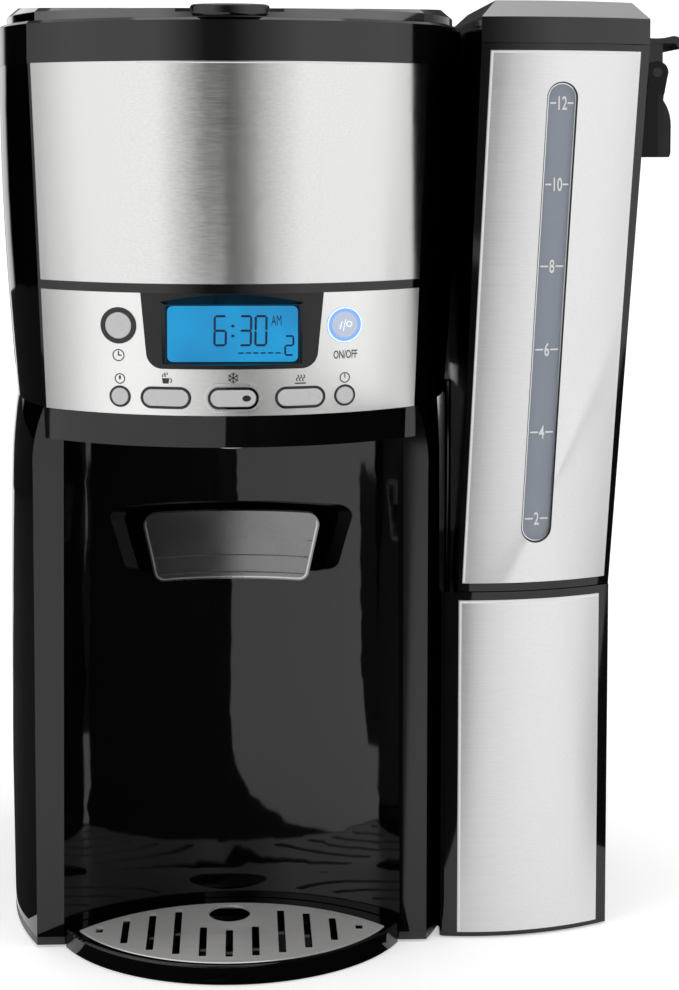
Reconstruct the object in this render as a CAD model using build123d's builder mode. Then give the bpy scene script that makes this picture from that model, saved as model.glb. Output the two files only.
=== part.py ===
"""Coffee maker that fills a mug from a tank inside its head, with a lift-off water reservoir at its right.

Millimetres, +Z up, front towards -Y. The origin is on the table under the middle of the whole machine.
Sketches are drawn about the middle of the brewing body, which stands left of the origin at BODY_X.
"""
from build123d import *
import os
from math import atan2, degrees, hypot, radians, sin, sqrt

os.makedirs("parts", exist_ok=True)

# Levels
BODY_X = -46.8
BASE_BOTTOM = 1.2
BASE_TOP = 4.5
HOOD_RIM = 211.0
HOOD_CEILING = 214.0
HOOD_FLOOR = 216.6
SEAM = 223.5
PANEL_TOP = 271.3
FASCIA_BOTTOM = 275.0
FASCIA_TOP = 361.0
COLLAR_TOP = 377.7
LID_BOTTOM = 377.9
LID_LIP = 381.3
LID_TOP = 388.0

# Plan of the brewing body
COLUMN_Y = -91.0
COLUMN_HALF = 80.0
WIDEST_Y = -20.0
HOUSING_BACK = 131.5
BACK = 135.5
REAR_RADIUS = 34.0
WALL = 2.6
DOCK_SIDE = 86.0

# Cup alcove, tray and grille
ALCOVE_HALF = 68.7
ALCOVE_BACK = -57.0
ALCOVE_RADIUS = (ALCOVE_HALF**2 + (ALCOVE_BACK - COLUMN_Y) ** 2) / (2 * (ALCOVE_BACK - COLUMN_Y))
TRAY_FRONT = -135.5
TRAY_TOP = 8.3
TRAY_BOTTOM = 1.7
TRAY_FLOOR = 2.9
GRILLE_TOP = 8.5
GRILLE_BOTTOM = 7.4
GRILLE_X = -1.2
FINGER_HOLE_Y = -77.0
SLOT_PITCH = 10.63
SLOT_WIDTH = 3.0

# Screws: head and shank radius, and where they go in the base and in the rear cover
SCREW_HEAD_R, SCREW_R = 3.1, 1.5
REAR_HEAD_R = 3.4
BASE_SCREWS = [(x, y) for x in (-70, 70) for y in (-40, 40, 115)]
REAR_SCREWS = [(x, z) for x in (-55, 51) for z in (20, 340)]

# Controls: name, X, Z, cap width, cap height, width of the guide round it
ROW_Z = 230.4
KNOB_Z = 258.3
CONTROLS = {
    "program_button": (-43.9, KNOB_Z, 10.4, 10.4, 1.7),
    "power_button": (44.9, KNOB_Z, 10.4, 10.4, 1.7),
    "hour_button": (-43.4, ROW_Z, 6.8, 6.8, 0.6),
    "minute_button": (44.9, ROW_Z, 6.8, 6.8, 0.6),
    "brew_button": (-25.3, ROW_Z, 17.8, 6.6, 0.8),
    "iced_button": (1.0, ROW_Z, 17.8, 6.6, 0.8),
    "warm_button": (27.2, ROW_Z, 17.8, 6.6, 0.8),
}
CAP_GAP = 0.25
CAP_BACK = -109.0
BUTTON_TRAVEL = 1.2
GUIDE_BACK = -111.2
BOARD_FRONT = -106.0
LCD = (0.8, 255.2, 51.0, 21.9)
LCD_Y = -119.8
WINDOW_BOTTOM, WINDOW_TOP = SEAM + 1.5, PANEL_TOP - 1.5

# Dispenser
PAD_BOTTOM, PAD_TOP = 148.5, 177.0
PAD_RADIUS = 80.0
PAD_FRONT = -70.0
PAD_CENTRE_Y = PAD_FRONT - PAD_RADIUS
PIVOT_Y, PIVOT_Z = -45.0, 190.0
VALVE_Z = 221.0
INLET_Y, OUTLET_Y = -80.0, -92.0

# Brewing parts
TANK_BOTTOM, TANK_TOP = 230.0, 302.0
BREW_Y = -12.0
HEATER_Y = 8.0
HEATER_HALF = 28.0
ELEMENT_END = 36.0
TUBE_R = 4.0
FEED_Y = 45.0
INLET_Z = 112.0
CHECK_LOW, CHECK_HIGH = 150.0, 172.0
RISER_Y, HOT_Z = 113.0, 368.5

# Lid hinge
LID_AXIS_Y, LID_AXIS_Z = 103.0, 381.0
LID_PIN_R = 1.5
HINGE_X = 55.0

# Dock and reservoir: front arcs share one radius; the reservoir leans right and forward
DOCK_TOP = 145.5
RES_BOTTOM, RES_TOP = 145.9, 369.0
DOCK_RIGHT = 157.5
DOCK_BACK = 62.0
SIDE_ARC_R = 107.0
SIDE_ARC_X, SIDE_ARC_Y = 102.0, 19.5
RES_LEFT_LOW, RES_RIGHT_LOW = 92.9, 157.3
RES_LEFT_HIGH, RES_RIGHT_HIGH = 99.8, 170.2
LEAN_X, LEAN_Y = 10.0, -14.0
RES_BACK_HIGH = 56.0
RES_SKIN = 3.6
GAUGE_LOW, GAUGE_HIGH = (124.9, 172.2), (132.7, 347.6)
GAUGE_WIDTH = 12.8
RES_VALVE_X = 125.0
RES_AXIS_X, RES_AXIS_Z = 181.5, 359.4
GRIP_FRONT, GRIP_BACK = -41.0, 35.0


def level(z):
    """Horizontal plane at height z, with its X measured from the middle of the brewing body."""
    return Plane((BODY_X, 0, z))


def facing(y):
    """Upright plane across the machine at depth y: sketch X is X, sketch Y is Z, and extrusions come forward."""
    return Plane(origin=(BODY_X, y, 0), x_dir=(1, 0, 0), z_dir=(0, -1, 0))


def section(x):
    """Upright plane along the machine at x: sketch X is Y, sketch Y is Z, and extrusions go right."""
    return Plane(origin=(BODY_X + x, 0, 0), x_dir=(0, 1, 0), z_dir=(1, 0, 0))


def save(part, name):
    part.label = name
    export_step(part, f"parts/{name}.step")


def between(low, high, share):
    return low + (high - low) * share


def front_arc(z):
    """Half width, depth of the middle and depth of the ends of the head's front arc at height z."""
    share = (z - HOOD_RIM) / (FASCIA_TOP - HOOD_RIM)
    return between(74.6, 80.5, share), between(-123.8, -126.6, share), between(-92.6, -91.0, share)


def arc_circle(z):
    """Radius and centre depth of the head's front arc at height z."""
    half, middle, ends = front_arc(z)
    rise = ends - middle
    radius = (half**2 + rise**2) / (2 * rise)
    return radius, middle + radius


def head_side(z):
    """Half width of the head: it flares quickly above the seam and stands almost upright at the top."""
    share = (z - SEAM) / (FASCIA_TOP - SEAM)
    return 92.0 + 6.2 * sin(radians(90 * min(1.0, share * 1.12)))


def body_plan(half, middle, ends, facet, side):
    """Outline of the brewing body: front, a narrow facet at each corner, bowed flanks and round rear corners."""
    with BuildSketch() as plan:
        with BuildLine():
            if middle == ends:
                Line((-half, ends), (half, ends))
            else:
                ThreePointArc((-half, ends), (0, middle), (half, ends))
            Line((side - REAR_RADIUS, HOUSING_BACK), (REAR_RADIUS - side, HOUSING_BACK))
            for hand in (-1, 1):
                start = (hand * (half + facet * 0.45), ends + facet)
                if facet:
                    Line((hand * half, ends), start)
                TangentArc((hand * side, WIDEST_Y), start, tangent=(0, -1))
                Line((hand * side, WIDEST_Y), (hand * side, HOUSING_BACK - REAR_RADIUS))
                CenterArc(
                    (hand * (side - REAR_RADIUS), HOUSING_BACK - REAR_RADIUS),
                    REAR_RADIUS,
                    0 if hand > 0 else 90,
                    90,
                )
        make_face()
    return plan.sketch


def head_plan(z, inset=0.0):
    half, middle, ends = front_arc(z)
    with BuildSketch() as plan:
        add(body_plan(half, middle, ends, 10.0, head_side(z)))
        if inset:
            offset(amount=-inset, kind=Kind.INTERSECTION)
    return plan.sketch


def column_plan(half, side, inset=0.0):
    with BuildSketch() as plan:
        add(body_plan(half, COLUMN_Y, COLUMN_Y, 0.0, side))
        if inset:
            offset(amount=-inset, kind=Kind.INTERSECTION)
    return plan.sketch


def lens(half, ends, front, back):
    """Outline between a front arc and a back arc that meet at two points."""
    with BuildSketch() as plan:
        with BuildLine():
            ThreePointArc((-half, ends), (0, front), (half, ends))
            ThreePointArc((-half, ends), (0, back), (half, ends))
        make_face()
    return plan.sketch


def front_band(z, outside, inside, half_scale=1.0):
    """Strip that follows the head's front arc, from outside to inside of it."""
    half = front_arc(z)[0] * half_scale
    radius, centre = arc_circle(z)
    with BuildSketch() as band:
        with Locations((0, centre)):
            Circle(radius + outside)
            Circle(radius - inside, mode=Mode.SUBTRACT)
        with Locations((0, centre - radius)):
            Rectangle(2 * half, 1.4 * radius, mode=Mode.INTERSECT)
    return band.sketch


def cup_shape(width, height):
    """Round cap outline, or a slot where it is wider than tall."""
    with BuildSketch() as outline:
        if width > height:
            SlotOverall(width, height)
        else:
            Circle(width / 2)
    return outline.sketch


def panel_core(proud):
    """Solid whose front follows the control panel, standing proud of it."""
    with BuildPart() as core:
        for z in (SEAM - 4, PANEL_TOP + 4):
            with BuildSketch(level(z)):
                radius, centre = arc_circle(z)
                with Locations((0, centre)):
                    Circle(radius + proud)
        loft()
    return core.part


def alcove_front(half, back):
    """Everything in front of the alcove's concave wall."""
    with BuildSketch() as plan:
        with BuildLine():
            ThreePointArc((-half, COLUMN_Y), (0, back), (half, COLUMN_Y))
            Polyline((half, COLUMN_Y), (half, -150), (-half, -150), (-half, COLUMN_Y))
        make_face()
    return plan.sketch


# Brewing body

with BuildPart() as alcove:
    with BuildSketch(level(0)):
        add(alcove_front(ALCOVE_HALF + 0.3, ALCOVE_BACK))
    with BuildSketch(level(HOOD_RIM)):
        add(alcove_front(ALCOVE_HALF - 1.2, ALCOVE_BACK))
    loft()

with BuildPart() as alcove_skin:
    with BuildSketch(level(0)):
        add(alcove_front(ALCOVE_HALF + 0.3 + WALL, ALCOVE_BACK + WALL))
    with BuildSketch(level(HOOD_FLOOR)):
        add(alcove_front(ALCOVE_HALF - 1.2 + WALL, ALCOVE_BACK + WALL))
    loft()

with BuildPart() as lower_cavity:
    for z, half, side in ((0, 80, 94.8), (100, 80, 95.6), (SEAM + 0.1, 75.2, 92.0)):
        with BuildSketch(level(z)):
            add(column_plan(half, side, WALL))
    loft()
    add(alcove_skin.part, mode=Mode.SUBTRACT)
    with BuildSketch(level(0)):
        with Locations((DOCK_SIDE - WALL + 20, 20)):
            Rectangle(40, 320)
    extrude(amount=SEAM + 10, mode=Mode.SUBTRACT)

with BuildPart() as hood:
    for z in (HOOD_RIM, SEAM):
        with BuildSketch(level(z)):
            add(front_band(z, 0, 60))
    loft()

with BuildPart() as lower_housing:
    for z, side in ((BASE_TOP, 94.8), (60, 95.4), (140, 95.6), (196, 94.7)):
        with BuildSketch(level(z)):
            add(column_plan(COLUMN_HALF, side))
    loft()
    for z, half, side in ((196, 80.0, 94.7), (211, 79.0, 93.6), (SEAM, 75.2, 92.0)):
        with BuildSketch(level(z)):
            add(column_plan(half, side))
    loft()
    add(hood.part)
    add(alcove.part, mode=Mode.SUBTRACT)
    add(lower_cavity.part, mode=Mode.SUBTRACT)
    for low, high in ((HOOD_RIM, HOOD_CEILING), (HOOD_FLOOR, SEAM + 1)):
        with BuildSketch(level(low)):
            add(front_band(low, -3.0, 62))
            with Locations((0, 50)):
                Rectangle(300, 2 * (50 - ALCOVE_BACK) - 4, mode=Mode.SUBTRACT)
        extrude(amount=high - low, mode=Mode.SUBTRACT)
    with BuildSketch(level(0)):
        with Locations((DOCK_SIDE + 20, 20)):
            Rectangle(40, 320)
    extrude(amount=SEAM + 10, mode=Mode.SUBTRACT)
    # Window for the dispenser's stem, slot for its arm and hole for the spout
    with BuildSketch(facing(-40)):
        with Locations((0, 162.5)):
            Rectangle(24, 20)
    extrude(amount=30, mode=Mode.SUBTRACT)
    with BuildSketch(level(HOOD_CEILING - 1)):
        with Locations((0, -50)):
            Rectangle(20, 20)
    extrude(amount=20, mode=Mode.SUBTRACT)
    with BuildSketch(level(HOOD_CEILING - 1)):
        with Locations((0, OUTLET_Y)):
            Circle(5.2)
    extrude(amount=6, mode=Mode.SUBTRACT)
    # Two ears behind the wall carry the dispenser's pivot pin
    with BuildSketch(section(0)):
        with BuildLine():
            Polyline((-56, 180), (-56, 200), (-45, 195), (-41, 192), (-41, 188), (-45, 185), (-56, 180))
        make_face()
    extrude(amount=12, both=True)
    with BuildSketch(section(0)):
        with Locations((-47.2, 190)):
            Rectangle(14.6, 34)
    extrude(amount=8, both=True, mode=Mode.SUBTRACT)
    with BuildSketch(section(0)):
        with Locations((PIVOT_Y, PIVOT_Z)):
            Circle(2.0)
    extrude(amount=14, both=True, mode=Mode.SUBTRACT)
    # Service opening behind the rear cover and hole for the water inlet tube
    with BuildSketch(facing(HOUSING_BACK + 1)):
        with Locations((0, 116)):
            RectangleRounded(110, 180, 8)
    extrude(amount=8, mode=Mode.SUBTRACT)
    with BuildSketch(section(DOCK_SIDE - 8)):
        with Locations((FEED_Y, INLET_Z)):
            Circle(6)
    extrude(amount=12, mode=Mode.SUBTRACT)
save(lower_housing.part, "lower_housing")

with BuildPart() as steel_fascia:
    for z in (FASCIA_BOTTOM, FASCIA_TOP):
        with BuildSketch(level(z)):
            add(front_band(z, 0.3, 1.2, 0.985))
    loft()
save(steel_fascia.part, "steel_fascia")

with BuildPart() as panel_blank:
    for z in (SEAM, PANEL_TOP):
        with BuildSketch(level(z)):
            add(front_band(z, 0.3, 1.9, 0.985))
    loft()


def display_outline(grow=0.0):
    """U-shaped outline of the display's dark surround, open at the panel's top edge."""
    with BuildSketch() as outline:
        with BuildLine():
            Polyline(
                (-35.4 - grow, PANEL_TOP + 3),
                (-32.4 - grow, 241.7 - grow),
                (33.6 + grow, 241.7 - grow),
                (36.8 + grow, PANEL_TOP + 3),
                close=True,
            )
        make_face()
        fillet(outline.vertices().group_by(Axis.Y)[0], 6.5)
    return outline.sketch


with BuildPart() as control_panel:
    add(panel_blank.part)
    with BuildSketch(facing(-90)):
        add(display_outline())
    extrude(amount=60, mode=Mode.SUBTRACT)
    for x, z, width, height, ring in CONTROLS.values():
        with BuildSketch(facing(-90)):
            with Locations((x, z)):
                add(cup_shape(width + 2 * (ring + CAP_GAP), height + 2 * (ring + CAP_GAP)))
        extrude(amount=60, mode=Mode.SUBTRACT)
save(control_panel.part, "control_panel")

with BuildPart() as head_housing:
    for z in (SEAM, 245, 270, 300, FASCIA_TOP):
        with BuildSketch(level(z)):
            add(head_plan(z))
    loft()
    for z in (SEAM, 270, FASCIA_TOP):
        with BuildSketch(level(z)):
            add(head_plan(z, WALL))
    loft(mode=Mode.SUBTRACT)
    add(steel_fascia.part, mode=Mode.SUBTRACT)
    add(panel_blank.part, mode=Mode.SUBTRACT)
    with BuildSketch(facing(-95)):
        with Locations((0, (WINDOW_BOTTOM + WINDOW_TOP) / 2)):
            Rectangle(110, WINDOW_TOP - WINDOW_BOTTOM)
    extrude(amount=40, mode=Mode.SUBTRACT)
    with BuildSketch(facing(HOUSING_BACK + 1)):
        with Locations((0, 285)):
            RectangleRounded(110, 80, 8)
    extrude(amount=8, mode=Mode.SUBTRACT)
save(head_housing.part, "head_housing")

with BuildPart() as collar:
    with BuildSketch(level(FASCIA_TOP)):
        add(body_plan(80.8, -127.2, -91.3, 10.0, 98.7))
    extrude(amount=COLLAR_TOP - FASCIA_TOP)
    chamfer(collar.faces().sort_by(Axis.Z)[-1].outer_wire().edges(), 1.0)
    for low, inset in ((FASCIA_TOP, 12.0), (364.0, 7.0)):
        with BuildSketch(level(low)):
            add(body_plan(80.8, -127.2, -91.3, 10.0, 98.7))
            offset(amount=-inset, kind=Kind.INTERSECTION)
            with Locations((0, 96 + 50)):
                Rectangle(220, 100, mode=Mode.SUBTRACT)
        extrude(amount=30, mode=Mode.SUBTRACT)
    # Under the rear deck the collar is hollow, for the water tube
    with BuildSketch(level(FASCIA_TOP)):
        with Locations((0, 113)):
            RectangleRounded(130, 28, 5)
    extrude(amount=12, mode=Mode.SUBTRACT)
    with BuildSketch(facing(105)):
        with Locations((-HEATER_HALF, HOT_Z)):
            Circle(TUBE_R + 0.3)
    extrude(amount=12, mode=Mode.SUBTRACT)
    # Trough and ears of the lid's hinge
    with BuildSketch(section(-HINGE_X - 9)):
        with Locations((LID_AXIS_Y, LID_AXIS_Z)):
            Circle(4.2)
    extrude(amount=2 * (HINGE_X + 9), mode=Mode.SUBTRACT)
    for hand in (-1, 1):
        with BuildSketch(section(hand * (HINGE_X + 6))):
            with BuildLine():
                Polyline((LID_AXIS_Y + 3.4, LID_AXIS_Z), (LID_AXIS_Y + 3.4, 375.5), (LID_AXIS_Y - 3.4, 375.5))
                Line((LID_AXIS_Y - 3.4, 375.5), (LID_AXIS_Y - 3.4, LID_AXIS_Z))
                CenterArc((LID_AXIS_Y, LID_AXIS_Z), 3.4, 0, 180)
            make_face()
            with Locations((LID_AXIS_Y, LID_AXIS_Z)):
                Circle(LID_PIN_R, mode=Mode.SUBTRACT)
        extrude(amount=hand * 5)
save(collar.part, "collar")

with BuildPart() as display_bezel:
    with BuildSketch(facing(-112)):
        add(display_outline())
    extrude(amount=30)
    add(panel_core(0.1), mode=Mode.INTERSECT)
    with BuildSketch(level(SEAM)):
        with Locations((0, -110)):
            Rectangle(200, 60)
    extrude(amount=PANEL_TOP - SEAM, mode=Mode.INTERSECT)
    # Sloping surround from the rim down to the window
    with BuildSketch(facing(-127)):
        with BuildLine():
            Polyline((-34.6, 272.5), (-31.4, 242.9), (32.4, 242.9), (36.0, 272.5), close=True)
        make_face()
    with BuildSketch(facing(LCD_Y)):
        with Locations((LCD[0], LCD[1])):
            Rectangle(LCD[2] + 1.6, LCD[3] + 0.8)
    loft(mode=Mode.SUBTRACT)
    with BuildSketch(facing(-100)):
        with Locations((LCD[0], LCD[1])):
            Rectangle(LCD[2] + 1.6, LCD[3] + 0.8)
    extrude(amount=25, mode=Mode.SUBTRACT)
    # Above the head's window only a thin lip is left, in front of the head's wall
    with BuildSketch(level(WINDOW_TOP - 0.2)):
        add(front_band(PANEL_TOP, -1.7, 16))
    extrude(amount=PANEL_TOP - WINDOW_TOP + 1, mode=Mode.SUBTRACT)
save(display_bezel.part, "display_bezel")

with BuildPart() as display_window:
    with BuildSketch(facing(LCD_Y + 0.9)):
        with Locations((LCD[0], LCD[1])):
            RectangleRounded(LCD[2] + 1.6, LCD[3] + 0.8, 1.5)
    extrude(amount=0.9)
save(display_window.part, "display_window")

with BuildPart() as lcd_module:
    with BuildSketch(facing(BOARD_FRONT - 7)):
        with Locations((LCD[0], LCD[1])):
            Rectangle(LCD[2] + 1.6, LCD[3] + 0.8)
    extrude(amount=abs(LCD_Y + 0.9 - (BOARD_FRONT - 7)))
    with BuildSketch(facing(BOARD_FRONT)):
        with Locations((LCD[0], LCD[1])):
            Rectangle(40, 14)
    extrude(amount=7)
save(lcd_module.part, "lcd_module")

with BuildPart() as control_board:
    with BuildSketch(facing(BOARD_FRONT + 1.6)):
        with Locations((0, 247)):
            RectangleRounded(97, 43, 2)
    extrude(amount=1.6)
save(control_board.part, "control_board")

with BuildPart() as tact_switches:
    for x, z, *sizes in CONTROLS.values():
        with BuildSketch(facing(BOARD_FRONT)):
            with Locations((x, z)):
                Rectangle(5.6, 5.6)
        extrude(amount=1.1)
        with BuildSketch(facing(BOARD_FRONT - 1.1)):
            with Locations((x, z)):
                Circle(1.7)
        extrude(amount=0.5)
save(tact_switches.part, "tact_switches")


def guide_ring(x, z, width, height, ring):
    """Tube that lines one hole of the panel and guides the cap inside it."""
    with BuildPart() as guide:
        with BuildSketch(facing(GUIDE_BACK)):
            with Locations((x, z)):
                add(cup_shape(width + 2 * (ring + CAP_GAP), height + 2 * (ring + CAP_GAP)))
                add(cup_shape(width + 2 * CAP_GAP, height + 2 * CAP_GAP), mode=Mode.SUBTRACT)
        extrude(amount=30)
        add(panel_core(0.45), mode=Mode.INTERSECT)
    return guide.part


with BuildPart() as button_guides:
    for name, control in CONTROLS.items():
        if name != "power_button":
            add(guide_ring(*control))
save(button_guides.part, "button_guides")

power_ring = guide_ring(*CONTROLS["power_button"])
save(power_ring, "power_ring")

for name, (x, z, width, height, ring) in CONTROLS.items():
    with BuildPart() as cap:
        with BuildSketch(facing(GUIDE_BACK + 0.2)):
            with Locations((x, z)):
                add(cup_shape(width, height))
        extrude(amount=30)
        add(panel_core(1.1), mode=Mode.INTERSECT)
        fillet(cap.faces().sort_by(Axis.Y)[0].outer_wire().edges(), 0.5)
        # The flange behind the guide keeps the cap in its hole
        with BuildSketch(facing(GUIDE_BACK + 1.2)):
            with Locations((x, z)):
                add(cup_shape(width + 2 * CAP_GAP + 0.7, height + 2 * CAP_GAP + 0.7))
        extrude(amount=1.0)
        with BuildSketch(facing(CAP_BACK)):
            with Locations((x, z)):
                Rectangle(2.2, 2.2)
        extrude(amount=abs(GUIDE_BACK + 1.2 - CAP_BACK))
        if name == "iced_button":
            with BuildSketch(facing(-100)):
                with Locations((x + 5.2, z)):
                    Ellipse(1.7, 1.25)
            extrude(amount=40, mode=Mode.SUBTRACT)
    save(cap.part, name)

with BuildPart() as iced_lamp:
    lamp_x = CONTROLS["iced_button"][0] + 5.2
    with BuildSketch(facing(GUIDE_BACK + 0.4)):
        with Locations((lamp_x, ROW_Z)):
            Ellipse(1.7, 1.25)
    extrude(amount=30)
    add(panel_core(0.7), mode=Mode.INTERSECT)
save(iced_lamp.part, "iced_lamp")

# Base, feet, tray and grille

with BuildPart() as base_plate:
    with BuildSketch(level(BASE_BOTTOM)):
        add(column_plan(COLUMN_HALF, 94.8))
        add(alcove_front(ALCOVE_HALF, ALCOVE_BACK), mode=Mode.SUBTRACT)
        with Locations((DOCK_SIDE + 20, 20)):
            Rectangle(40, 320, mode=Mode.SUBTRACT)
    extrude(amount=BASE_TOP - BASE_BOTTOM)
    # Tongue under the drip tray
    with BuildSketch(level(0.6)):
        add(lens(ALCOVE_HALF - 6.0, COLUMN_Y - 1, TRAY_FRONT + 5, ALCOVE_BACK + 0.5))
        with Locations((0, -55)):
            Rectangle(60, 10)
    extrude(amount=0.9)
    with BuildSketch(level(0.6)):
        with Locations((0, -50)):
            Rectangle(60, 13)
    extrude(amount=1.5)
    # Bridge under the dock
    with BuildSketch(level(BASE_BOTTOM)):
        with Locations((110, -7.5)):
            Rectangle(80, 125)
    extrude(amount=BASE_TOP - BASE_BOTTOM)
    with BuildSketch(level(BASE_TOP)):
        with Locations(*BASE_SCREWS):
            Circle(SCREW_R)
    extrude(amount=-8, mode=Mode.SUBTRACT)
    with BuildSketch(level(BASE_BOTTOM)):
        with Locations(*BASE_SCREWS):
            Circle(SCREW_HEAD_R)
    extrude(amount=1.6, mode=Mode.SUBTRACT)
save(base_plate.part, "base_plate")

with BuildPart() as rubber_feet:
    with BuildSketch(level(0)):
        with Locations((-76, -72), (76, -72), (-72, 100), (72, 100)):
            Circle(7)
        with Locations((140, -60), (140, 45)):
            Circle(6)
    extrude(amount=BASE_BOTTOM)
    chamfer(rubber_feet.edges().group_by(Axis.Z)[0], 0.5)
save(rubber_feet.part, "rubber_feet")

with BuildPart() as drip_tray:
    with BuildSketch(level(TRAY_BOTTOM)):
        add(lens(ALCOVE_HALF - 0.5, COLUMN_Y - 0.3, TRAY_FRONT, ALCOVE_BACK - 0.8))
    extrude(amount=TRAY_TOP - TRAY_BOTTOM)
    fillet(drip_tray.edges().group_by(Axis.Z)[-1].sort_by(Axis.Y)[0], 1.2)
    with BuildSketch(level(0.4)):
        add(lens(ALCOVE_HALF - 0.5, COLUMN_Y - 0.3, TRAY_FRONT, ALCOVE_BACK - 0.8))
        add(lens(ALCOVE_HALF - 0.7, COLUMN_Y, TRAY_FRONT + 2.4, ALCOVE_BACK + 6), mode=Mode.SUBTRACT)
        with Locations((0, -60)):
            Rectangle(200, 56, mode=Mode.SUBTRACT)
    extrude(amount=TRAY_BOTTOM - 0.4)
    with BuildSketch(level(GRILLE_BOTTOM)):
        add(lens(62.9, -94.7, -133.5, -64.0))
    extrude(amount=2, mode=Mode.SUBTRACT)
    with BuildSketch(level(TRAY_FLOOR)):
        add(lens(56.0, -94.7, -129.4, -68.4))
    extrude(amount=10, mode=Mode.SUBTRACT)
    # Rib seen through the grille's finger hole, and finger scoop low in the front edge
    with BuildSketch(level(TRAY_FLOOR)):
        with Locations((GRILLE_X, FINGER_HOLE_Y)):
            Rectangle(17, 2.4)
    extrude(amount=3.6)
    with BuildSketch(level(TRAY_BOTTOM)):
        with Locations((0, TRAY_FRONT - 83)):
            Circle(85)
    extrude(amount=2.9, mode=Mode.SUBTRACT)
save(drip_tray.part, "drip_tray")

with BuildPart() as drip_grille:
    with BuildSketch(level(GRILLE_BOTTOM)):
        add(lens(62.4, -94.7, -133.1, -64.4))
        with Locations((GRILLE_X, FINGER_HOLE_Y)):
            Ellipse(8.7, 10.2, mode=Mode.SUBTRACT)
        for place in range(-5, 6):
            x = place * SLOT_PITCH
            front = -63.2 - sqrt(63.4**2 - x**2)
            back = -144.4 + sqrt(75.3**2 - x**2)
            if abs(place) < 2:
                back = FINGER_HOLE_Y - sqrt(17.4**2 - x**2)
            with Locations((GRILLE_X + x, (front + back) / 2)):
                RectangleRounded(SLOT_WIDTH, back - front, 0.6, mode=Mode.SUBTRACT)
    extrude(amount=GRILLE_TOP - GRILLE_BOTTOM)
    chamfer(drip_grille.faces().sort_by(Axis.Z)[-1].outer_wire().edges(), 0.35)
save(drip_grille.part, "drip_grille")

# Rear

with BuildPart() as rear_cover:
    with BuildSketch(facing(BACK)):
        with Locations((-2, 180)):
            RectangleRounded(122, 340, 12)
    extrude(amount=BACK - HOUSING_BACK)
    chamfer(rear_cover.faces().sort_by(Axis.Y)[-1].outer_wire().edges(), 1.5)
    with BuildSketch(facing(BACK)):
        with Locations(*[(-2, 70 + 9 * row) for row in range(8)]):
            SlotOverall(70, 3.2)
        with Locations(*[(-2, 280 + 9 * row) for row in range(4)]):
            SlotOverall(70, 3.2)
    extrude(amount=6, mode=Mode.SUBTRACT)
    with BuildSketch(facing(BACK)):
        with Locations((40, 26)):
            Circle(8)
    extrude(amount=6, mode=Mode.SUBTRACT)
    with BuildSketch(facing(BACK)):
        with Locations(*REAR_SCREWS):
            Circle(REAR_HEAD_R)
    extrude(amount=2.2, mode=Mode.SUBTRACT)
    with BuildSketch(facing(BACK)):
        with Locations(*REAR_SCREWS):
            Circle(SCREW_R)
    extrude(amount=6, mode=Mode.SUBTRACT)
save(rear_cover.part, "rear_cover")

with BuildPart() as cord_gland:
    with BuildSketch(facing(BACK)):
        with Locations((40, 26)):
            Circle(8)
            Circle(3.6, mode=Mode.SUBTRACT)
    extrude(amount=BACK - HOUSING_BACK)
save(cord_gland.part, "cord_gland")

with BuildPart() as housing_screws:
    with BuildSketch(level(BASE_BOTTOM)):
        with Locations(*BASE_SCREWS):
            Circle(SCREW_HEAD_R)
            Rectangle(1.0, 4.0, mode=Mode.SUBTRACT)
            Rectangle(4.0, 1.0, mode=Mode.SUBTRACT)
    extrude(amount=1.6)
    with BuildSketch(level(BASE_BOTTOM + 1.2)):
        with Locations(*BASE_SCREWS):
            Circle(SCREW_R)
    extrude(amount=2.1)
    with BuildSketch(facing(BACK - 0.4)):
        with Locations(*REAR_SCREWS):
            Circle(REAR_HEAD_R)
            Rectangle(1.0, 4.4, mode=Mode.SUBTRACT)
            Rectangle(4.4, 1.0, mode=Mode.SUBTRACT)
    extrude(amount=1.8)
    with BuildSketch(facing(BACK - 1.2)):
        with Locations(*REAR_SCREWS):
            Circle(SCREW_R)
    extrude(amount=2.8)
save(housing_screws.part, "housing_screws")

# Lid

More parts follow.
